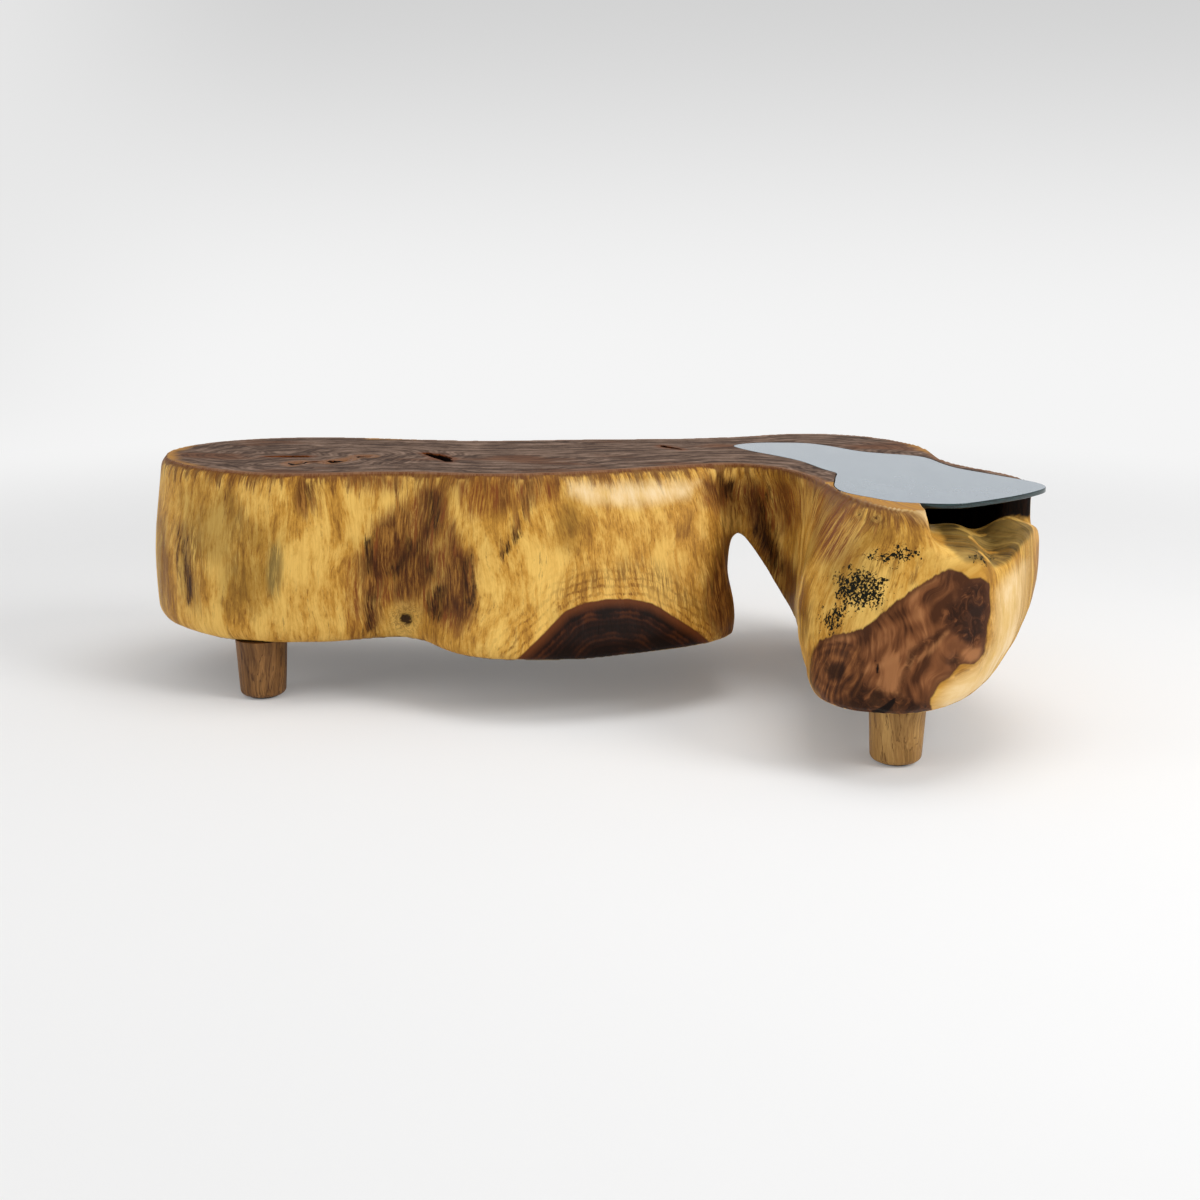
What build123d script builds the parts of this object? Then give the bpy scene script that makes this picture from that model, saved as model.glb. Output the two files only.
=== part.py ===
# A coffee table carved from one forked tree trunk, with a loose glass pane let into its top.
# The origin is on the floor under the middle of the table. X runs along the trunk, Y away from
# the open side of the fork, and Z is up. All sizes are in millimetres.

import os
from math import atan2, degrees, hypot, prod, sqrt

from build123d import *

# Overall sizes of the table
table_length = 1540
table_width = 970
table_height = 400

# The trunk: the heights of its underside and of its fullest girth, and the easing of its edges
underside_height = 105
belly_height = 262
lower_edge_round = 26
upper_edge_round = 11
edge_shares = [0, 0.3]
wall_shares = [0, 0.18, 0.36, 0.54, 0.72, 0.88, 1]

# The hollow under the pane, and the lower shelf at its open end
hollow_depth = 150
hollow_slope = 28
shelf_depth = 90

# The glass pane, the rebate that it lies in and the soft bumpers under it
glass_thickness = 8
glass_gap = 1.5
bumper_radius = 6
bumper_thickness = 2.5
bumper_recess = 0.5

# The legs and their felt pads
leg_top_radius = 46
leg_foot_radius = 40
leg_foot_ease = 7
pad_radius = 26
pad_thickness = 3

# The dowel screw that holds each leg: half its length in the leg, half in the trunk
screw_radius = 5
screw_length = 90

# How many facets each kind of outline is drawn with
trunk_facets = 120
shelf_facets = 30
arch_facets = 44
hollow_facets = 48
glass_facets = 170
leg_facets = 32

# One margin by which every cutter passes the faces that it opens
cut_overrun = 40

# The trunk's outline at its upper rim, belly and foot, as shares of the length and width,
# from the left end along the front to the right end and back along the rear
rim_shares = [
    (-0.486, 0.222), (-0.465, 0.113), (-0.419, 0.033), (-0.362, -0.024), (-0.302, -0.047),
    (-0.242, -0.033), (-0.19, -0.025), (-0.144, -0.033), (-0.094, -0.048), (-0.036, -0.039),
    (0.023, -0.015), (0.078, 0.021), (0.123, 0.049), (0.155, 0.067), (0.174, 0.074),
    (0.195, 0.068), (0.218, 0.043), (0.242, -0.012), (0.261, -0.088), (0.273, -0.175),
    (0.281, -0.263), (0.3, -0.34), (0.338, -0.402), (0.39, -0.412), (0.438, -0.361),
    (0.471, -0.273), (0.488, -0.18), (0.492, -0.093), (0.477, -0.021), (0.451, 0.041),
    (0.432, 0.113), (0.429, 0.206), (0.427, 0.299), (0.399, 0.397), (0.354, 0.469),
    (0.295, 0.492), (0.227, 0.46), (0.156, 0.423), (0.071, 0.407), (-0.019, 0.4),
    (-0.104, 0.386), (-0.188, 0.402), (-0.273, 0.431), (-0.357, 0.433), (-0.425, 0.392),
    (-0.469, 0.32),
]
belly_shares = [
    (-0.496, 0.211), (-0.477, 0.1), (-0.429, 0.004), (-0.368, -0.056), (-0.304, -0.08),
    (-0.243, -0.058), (-0.188, -0.043), (-0.144, -0.074), (-0.096, -0.101), (-0.038, -0.103),
    (0.025, -0.085), (0.084, -0.052), (0.138, -0.021), (0.172, 0.026), (0.184, 0.088),
    (0.206, 0.119), (0.235, 0.091), (0.252, 0.005), (0.251, -0.113), (0.242, -0.232),
    (0.24, -0.34), (0.265, -0.433), (0.312, -0.482), (0.367, -0.474), (0.419, -0.412),
    (0.464, -0.314), (0.492, -0.196), (0.49, -0.082), (0.477, 0.01), (0.456, 0.088),
    (0.443, 0.175), (0.436, 0.258), (0.425, 0.345), (0.395, 0.423), (0.351, 0.479),
    (0.292, 0.499), (0.224, 0.476), (0.156, 0.443), (0.071, 0.431), (-0.019, 0.425),
    (-0.104, 0.41), (-0.19, 0.425), (-0.275, 0.454), (-0.362, 0.456), (-0.436, 0.41),
    (-0.479, 0.326),
]
foot_shares = [
    (-0.496, 0.206), (-0.477, 0.093), (-0.43, 0.005), (-0.364, -0.052), (-0.302, -0.068),
    (-0.245, -0.052), (-0.192, -0.019), (-0.151, -0.105), (-0.104, -0.167), (-0.045, -0.186),
    (0.016, -0.171), (0.079, -0.142), (0.138, -0.093), (0.181, -0.026), (0.19, 0.062),
    (0.211, 0.113), (0.242, 0.088), (0.258, -0.01), (0.258, -0.155), (0.248, -0.289),
    (0.252, -0.397), (0.278, -0.469), (0.321, -0.499), (0.37, -0.466), (0.404, -0.39),
    (0.426, -0.29), (0.436, -0.18), (0.439, -0.07), (0.437, 0.031), (0.43, 0.124),
    (0.422, 0.216), (0.41, 0.299), (0.393, 0.371), (0.357, 0.428), (0.318, 0.456),
    (0.273, 0.47), (0.218, 0.46), (0.153, 0.433), (0.071, 0.425), (-0.019, 0.418),
    (-0.104, 0.4), (-0.188, 0.41), (-0.273, 0.439), (-0.358, 0.441), (-0.43, 0.4),
    (-0.477, 0.322),
]

# The pane's outline, from the tip of its tongue along the front and back along the rear
glass_shares = [
    (0.196, 0.3), (0.22, 0.224), (0.2435, 0.169), (0.2628, 0.113), (0.2757, 0.0485),
    (0.2865, -0.0024), (0.2922, -0.027), (0.2895, -0.06), (0.2835, -0.1162), (0.2788, -0.166),
    (0.2797, -0.2), (0.2855, -0.233), (0.3071, -0.2814), (0.3266, -0.3175),
    (0.358, -0.334), (0.3805, -0.338), (0.4195, -0.307), (0.4617, -0.2526), (0.4877, -0.208),
    (0.499, -0.178), (0.4995, -0.145), (0.476, -0.0773), (0.4578, -0.033), (0.4325, 0.03),
    (0.418, 0.12), (0.406, 0.171), (0.392, 0.188), (0.3688, 0.207), (0.344, 0.235),
    (0.3325, 0.259), (0.309, 0.3144), (0.2838, 0.3474), (0.2558, 0.3536), (0.2123, 0.3412),
]

# The arch's opening in the fork and in the rear wall, as shares of the length and height,
# from below its left foot over the peak to below its right foot
arch_front_shares = [
    (0.184, 0.12), (0.178, 0.26), (0.1775, 0.48), (0.1785, 0.64), (0.185, 0.712), (0.194, 0.67),
    (0.213, 0.566), (0.237, 0.42), (0.268, 0.28), (0.294, 0.15), (0.24, 0.02),
]
arch_rear_shares = [
    (0.202, 0.08), (0.194, 0.22), (0.194, 0.38), (0.198, 0.52), (0.208, 0.59), (0.222, 0.58),
    (0.246, 0.5), (0.276, 0.37), (0.31, 0.24), (0.338, 0.1), (0.265, 0.0),
]
arch_front_place = -0.012
arch_rear_place = 0.56

# The hollow's outline where it meets the ledge under the pane
hollow_shares = [
    (0.323, -0.247), (0.35, -0.265), (0.38, -0.245), (0.42, -0.225), (0.45, -0.205),
    (0.462, -0.165), (0.461, -0.115), (0.447, -0.07), (0.424, -0.025), (0.404, 0.035),
    (0.389, 0.1), (0.367, 0.132), (0.34, 0.128), (0.32, 0.08), (0.314, 0.0),
    (0.31, -0.09), (0.311, -0.175),
]

# The shelf's rolling surface: its stations as shares of the width, and at each of them the
# share of the shelf's depth that the wood lies below the top at the places in shelf_places
shelf_places = [0.352, 0.376, 0.398, 0.42, 0.45, 0.5, 0.56]
shelf_stations = [
    (-0.62, [-0.3, 0.6, 0.66, 0.98, 0.8, 0.76, 0.72]),
    (-0.4, [-0.3, 0.6, 0.62, 0.96, 0.74, 0.72, 0.72]),
    (-0.25, [-0.3, 0.5, 0.51, 0.64, 0.49, 0.62, 0.76]),
    (-0.13, [-0.3, 0.7, 0.72, 0.76, 0.74, 0.78, 0.82]),
]

# The outline of a natural void, as shares of its half length and half width
void_shares = [
    (1.0, 0.1), (0.6, 0.75), (0.15, 0.5), (-0.35, 1.0), (-0.8, 0.55), (-1.0, -0.15), (-0.65, -0.8),
    (-0.1, -0.5), (0.45, -1.0), (0.8, -0.6),
]

# The natural voids in the top: the place of each as shares of the length and width, its half
# length and half width as shares of the length, its turn, and its depth as a share of the height
top_void_shares = [
    (-0.3045, 0.0966, 0.0188, 0.0034, 20, 0.065),
    (-0.271, 0.1205, 0.0132, 0.0032, 27, 0.05),
    (-0.3298, 0.167, 0.0273, 0.0078, 0, 0.02),
    (-0.2441, 0.173, 0.0084, 0.0026, -5, 0.035),
    (-0.1553, 0.161, 0.0403, 0.0097, -63, 0.138),
    (0.117, 0.2865, 0.0214, 0.0052, -54, 0.075),
]

# Where the legs stand and where the bumpers lie, as shares of the length and width
leg_places = {
    "front_left": (-0.3527, 0.003),
    "front_right": (0.331, -0.372),
    "rear_left": (-0.396, 0.32),
    "rear_right": (0.325, 0.31),
}
bumper_shares = [
    (0.222, 0.315), (0.285, 0.31), (0.302, -0.02), (0.322, -0.285), (0.375, 0.165), (0.4625, -0.077),
]


def placed(shares, length, width):
    """Turn shares of a length and a width into places."""
    return [(length * x, width * y) for x, y in shares]


def moved_in(points, distance):
    """Move the points of a closed outline, drawn counter-clockwise, towards its inside."""
    moved = []
    for index, (x, y) in enumerate(points):
        before = points[index - 1]
        after = points[(index + 1) % len(points)]
        along_x = after[0] - before[0]
        along_y = after[1] - before[1]
        size = hypot(along_x, along_y)
        moved.append((x - distance * along_y / size, y + distance * along_x / size))
    return moved


def shared_stations(*outlines):
    """Give closed outlines of as many points one common run of stations along them."""
    steps = []
    for index, spots in enumerate(zip(*outlines)):
        before = [outline[index - 1] for outline in outlines]
        steps.append(sum(hypot(b[0] - a[0], b[1] - a[1]) for a, b in zip(before, spots)))
    stations = [0]
    for step in steps[1:] + steps[:1]:
        stations.append(stations[-1] + step / sum(steps))
    return stations


def ring(points, count, stations=None):
    """Draw a smooth closed curve through the points and walk round it in even facets."""
    stations = stations or shared_stations(points)
    spots = [Vector(x, y) for x, y in points]
    curve = Edge.make_spline(spots, periodic=True, parameters=stations)
    walk = [curve.position_at(index / count) for index in range(count)]
    return [(spot.X, spot.Y) for spot in walk]


def skin(levels, rings):
    """Close a stack of outlines of as many points, each at its level, into one solid."""
    stacked = [[Vector(x, y, z) for x, y in points] for z, points in zip(levels, rings)]
    corners = [stacked[0], stacked[-1]]
    for low, high in zip(stacked, stacked[1:]):
        for index, low_after in enumerate(low):
            low_before = low[index - 1]
            high_before = high[index - 1]
            high_after = high[index]
            # Each field is parted along its shorter diagonal, which keeps the skin even
            if (high_after - low_before).length < (high_before - low_after).length:
                corners.append([low_before, low_after, high_after])
                corners.append([low_before, high_after, high_before])
            else:
                corners.append([low_before, low_after, high_before])
                corners.append([low_after, high_after, high_before])
    return Solid(Shell([Face(Wire.make_polygon(spots)) for spots in corners]))


def run(points, count):
    """Draw a smooth open curve through the points and walk along it in even facets."""
    curve = Edge.make_spline([Vector(x, y) for x, y in points])
    walk = [curve @ (index / count) for index in range(count + 1)]
    return [(spot.X, spot.Y) for spot in walk]


def outline_at(height):
    """Blend the trunk's three outlines into the one at a height, along a smooth bulge."""
    levels = (underside_height, belly_height, table_height)
    weights = []
    for level in levels:
        others = [other for other in levels if other != level]
        weights.append(prod((height - other) / (level - other) for other in others))
    points = []
    for spots in zip(foot_outline, belly_outline, rim_outline):
        x = sum(weight * spot[0] for weight, spot in zip(weights, spots))
        y = sum(weight * spot[1] for weight, spot in zip(weights, spots))
        points.append((x, y))
    return points


# Levels and outlines that follow from the sizes
rebate_depth = glass_thickness + bumper_thickness - bumper_recess
ledge_height = table_height - rebate_depth
rim_points = placed(rim_shares, table_length, table_width)
belly_points = placed(belly_shares, table_length, table_width)
foot_points = placed(foot_shares, table_length, table_width)
trunk_stations = shared_stations(rim_points, belly_points, foot_points)
glass_underside = table_height - glass_thickness
rim_outline = ring(rim_points, trunk_facets, trunk_stations)
belly_outline = ring(belly_points, trunk_facets, trunk_stations)
foot_outline = ring(foot_points, trunk_facets, trunk_stations)
glass_outline = ring(placed(glass_shares, table_length, table_width), glass_facets)
hollow_outline = ring(placed(hollow_shares, table_length, table_width), hollow_facets)
leg_height = underside_height - pad_thickness
leg_taper = degrees(atan2(leg_top_radius - leg_foot_radius, leg_height))
bumper_spots = placed(bumper_shares, table_length, table_width)
leg_spots = {name: (table_length * x, table_width * y) for name, (x, y) in leg_places.items()}


# The trunk: one body drawn through its outlines from the eased lower edge to the eased rim
wall_foot = underside_height + lower_edge_round
wall_head = table_height - upper_edge_round
trunk_levels = []
trunk_rings = []
for share in edge_shares:
    # The easing follows a quarter circle, so the inset shrinks fast and then slowly
    inset = lower_edge_round * (1 - sqrt(1 - (1 - share) ** 2))
    trunk_levels.append(underside_height + lower_edge_round * share)
    trunk_rings.append(moved_in(outline_at(trunk_levels[-1]), inset))
for share in wall_shares:
    trunk_levels.append(wall_foot + (wall_head - wall_foot) * share)
    trunk_rings.append(outline_at(trunk_levels[-1]))
for share in reversed(edge_shares):
    inset = upper_edge_round * (1 - sqrt(1 - (1 - share) ** 2))
    trunk_levels.append(table_height - upper_edge_round * share)
    trunk_rings.append(moved_in(outline_at(trunk_levels[-1]), inset))

with BuildPart() as trunk:
    add(skin(trunk_levels, trunk_rings))

    # The arch, which runs from the fork right through the rear wall
    for place, shares in ((arch_front_place, arch_front_shares), (arch_rear_place, arch_rear_shares)):
        with BuildSketch(Plane.XZ.offset(-table_width * place)):
            with BuildLine():
                Polyline(*ring(placed(shares, table_length, table_height), arch_facets), close=True)
            make_face()
    loft(mode=Mode.SUBTRACT)

    # The shelf, an uneven surface drawn through its stations
    for place, depths in shelf_stations:
        with BuildSketch(Plane.XZ.offset(-table_width * place)):
            with BuildLine():
                levels = [table_height - shelf_depth * depth for depth in depths]
                spots = [(table_length * x, z) for x, z in zip(shelf_places, levels)]
                lid_height = table_height + cut_overrun
                floor_run = run(spots, shelf_facets)
                Polyline(
                    *floor_run,
                    (floor_run[-1][0], lid_height),
                    (floor_run[0][0], lid_height),
                    close=True,
                )
            make_face()
    loft(ruled=True, mode=Mode.SUBTRACT)

    # The hollow under the pane, which narrows towards its floor
    for height, inset in (
        (table_height + cut_overrun, 0),
        (ledge_height, 0),
        (table_height - hollow_depth, hollow_slope),
    ):
        with BuildSketch(Plane.XY.offset(height)):
            with BuildLine():
                Polyline(*moved_in(hollow_outline, inset), close=True)
            make_face()
    loft(ruled=True, mode=Mode.SUBTRACT)

    # The rebate that the pane lies in
    with BuildSketch(Plane.XY.offset(ledge_height)):
        with BuildLine():
            Polyline(*moved_in(glass_outline, -glass_gap), close=True)
        make_face()
    extrude(amount=rebate_depth + cut_overrun, mode=Mode.SUBTRACT)

    # The natural voids of the top
    for x, y, length_share, width_share, turn, depth_share in top_void_shares:
        outline = placed(void_shares, table_length * length_share, table_length * width_share)
        with BuildSketch(Plane.XY.offset(table_height * (1 - depth_share))):
            with Locations(Location((table_length * x, table_width * y), turn)):
                Polygon(*outline, align=None)
        extrude(amount=table_height * depth_share + cut_overrun, mode=Mode.SUBTRACT)

    # The pilot bores of the dowel screws
    with BuildSketch(Plane.XY.offset(underside_height - cut_overrun)):
        with Locations(*leg_spots.values()):
            Circle(screw_radius)
    extrude(amount=screw_length / 2 + cut_overrun, mode=Mode.SUBTRACT)

    # The shallow seats of the bumpers
    with BuildSketch(Plane.XY.offset(ledge_height - bumper_recess)):
        with Locations(*bumper_spots):
            Circle(bumper_radius)
    extrude(amount=bumper_recess, mode=Mode.SUBTRACT)

# The loose pane
with BuildPart() as glass_top:
    with BuildSketch(Plane.XY.offset(glass_underside)):
        with BuildLine():
            Polyline(*glass_outline, close=True)
        make_face()
    extrude(amount=glass_thickness)

trunk.part.label = "trunk"
glass_top.part.label = "glass_top"
pieces = [trunk.part, glass_top.part]

# The soft bumpers between the ledge and the pane
for number, spot in enumerate(bumper_spots, start=1):
    with BuildPart() as bumper:
        with BuildSketch(Plane.XY.offset(ledge_height - bumper_recess)):
            with Locations(spot):
                Circle(bumper_radius)
        extrude(amount=bumper_thickness)
    bumper.part.label = f"bumper_{number:02d}"
    pieces.append(bumper.part)

for name, (x, y) in leg_spots.items():
    # The leg: thinner towards its eased foot, with a bore for the screw
    with BuildPart() as leg:
        with BuildSketch(Plane.XY.offset(pad_thickness)):
            with Locations((x, y)):
                RegularPolygon(leg_foot_radius, side_count=leg_facets)
        extrude(amount=leg_height, taper=-leg_taper)
        chamfer(leg.faces().sort_by(Axis.Z)[0].edges(), length=leg_foot_ease)
        with BuildSketch(Plane.XY.offset(underside_height - screw_length / 2)):
            with Locations((x, y)):
                Circle(screw_radius)
        extrude(amount=screw_length / 2 + cut_overrun, mode=Mode.SUBTRACT)
    leg.part.label = f"leg_{name}"

    # The dowel screw, half in the leg and half in the trunk
    with BuildPart() as screw:
        with BuildSketch(Plane.XY.offset(underside_height - screw_length / 2)):
            with Locations((x, y)):
                Circle(screw_radius)
        extrude(amount=screw_length)
    screw.part.label = f"dowel_screw_{name}"

    # The felt pad under the foot
    with BuildPart() as pad:
        with BuildSketch():
            with Locations((x, y)):
                RegularPolygon(pad_radius, side_count=leg_facets)
        extrude(amount=pad_thickness)
    pad.part.label = f"felt_pad_{name}"
    pieces += [leg.part, screw.part, pad.part]

os.makedirs("parts", exist_ok=True)
for piece in pieces:
    export_step(piece, f"parts/{piece.label}.step")
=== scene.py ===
"""Dresses the trunk coffee table: its carved trunk, the loose pane, the legs and their fittings.

All lengths are in metres. Colours are written as screen values from 0 to 255.
"""

import logging
import math
import sys
from collections.abc import Callable, Iterable, Iterator, Sequence
from contextlib import contextmanager
from dataclasses import dataclass, field
from enum import Enum

import bmesh
import bpy
import numpy as np
from mathutils import Matrix, Vector
from mathutils.bvhtree import BVHTree
from mathutils.kdtree import KDTree

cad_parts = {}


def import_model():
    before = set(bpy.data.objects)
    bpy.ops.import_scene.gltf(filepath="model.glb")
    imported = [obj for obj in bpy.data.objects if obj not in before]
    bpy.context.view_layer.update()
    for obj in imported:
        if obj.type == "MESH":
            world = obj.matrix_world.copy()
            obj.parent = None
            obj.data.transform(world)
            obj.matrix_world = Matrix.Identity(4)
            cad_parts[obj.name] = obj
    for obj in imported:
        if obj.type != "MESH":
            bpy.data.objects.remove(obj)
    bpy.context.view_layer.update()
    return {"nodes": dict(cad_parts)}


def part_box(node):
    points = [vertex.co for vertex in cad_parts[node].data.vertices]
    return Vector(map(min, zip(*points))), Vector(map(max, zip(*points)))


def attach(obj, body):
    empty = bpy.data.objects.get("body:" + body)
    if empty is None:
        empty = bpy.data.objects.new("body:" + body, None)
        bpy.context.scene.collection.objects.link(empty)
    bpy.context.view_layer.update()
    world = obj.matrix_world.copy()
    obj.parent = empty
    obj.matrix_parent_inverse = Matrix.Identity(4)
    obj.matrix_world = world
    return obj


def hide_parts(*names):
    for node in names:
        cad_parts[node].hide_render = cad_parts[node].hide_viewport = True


LOG = logging.getLogger("table")
Outline = Sequence[tuple[float, float]]
Colour = tuple[int, int, int]


class Side(Enum):
    """The side of the trunk that a marking lies on."""

    FRONT = "front"
    REAR = "rear"
    TOP = "top"


class Tone(Enum):
    """The kinds of marking on the trunk, each stored as an attribute of that name: most are in the wood, and a few
    are painted shade and painted highlights.
    """

    HEART = "heart"
    BURL = "burl"
    DEEP = "deep"
    GLOW = "glow"
    CRACK = "crack"
    STAIN = "stain"
    CORE = "core"
    SMUDGE = "smudge"
    SPECK = "speck"
    # Pale wood, partly a painted highlight where the light falls strongest.
    PALE_AND_LIT = "pale_and_lit"
    # Painted shade: the left end away from the light and the edges by the arch, mixed with darker grain.
    SHADE = "shade"
    SPLASH = "splash"
    VOID = "void"
    EYE = "eye"
    KNOT = "knot"
    RIM = "rim"
    # Dark heartwood with painted shade, on the hollow's walls under the pane.
    INNER_HEART_AND_SHADE = "inner_heart_and_shade"
    SHELF = "shelf"
    ACROSS = "across"
    AROUND = "around"
    DOWN = "down"


@dataclass(frozen=True)
class Marking:
    """A marking on the trunk, by its outline on one side of the trunk: most are in the wood, and some are painted
    shade and painted highlights.

    A front outline is in pixels of the photograph, a rear one in millimetres of X and Z, and
    one on the top in millimetres of X and Y.
    """

    tone: Tone
    outline: Outline
    side: Side = Side.FRONT


@dataclass(frozen=True)
class Eye:
    """A round curl in the grain, by its centre and radius on one side of the trunk."""

    tone: Tone
    centre: tuple[float, float]
    radius: float
    depth: float
    side: Side = Side.FRONT


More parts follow.
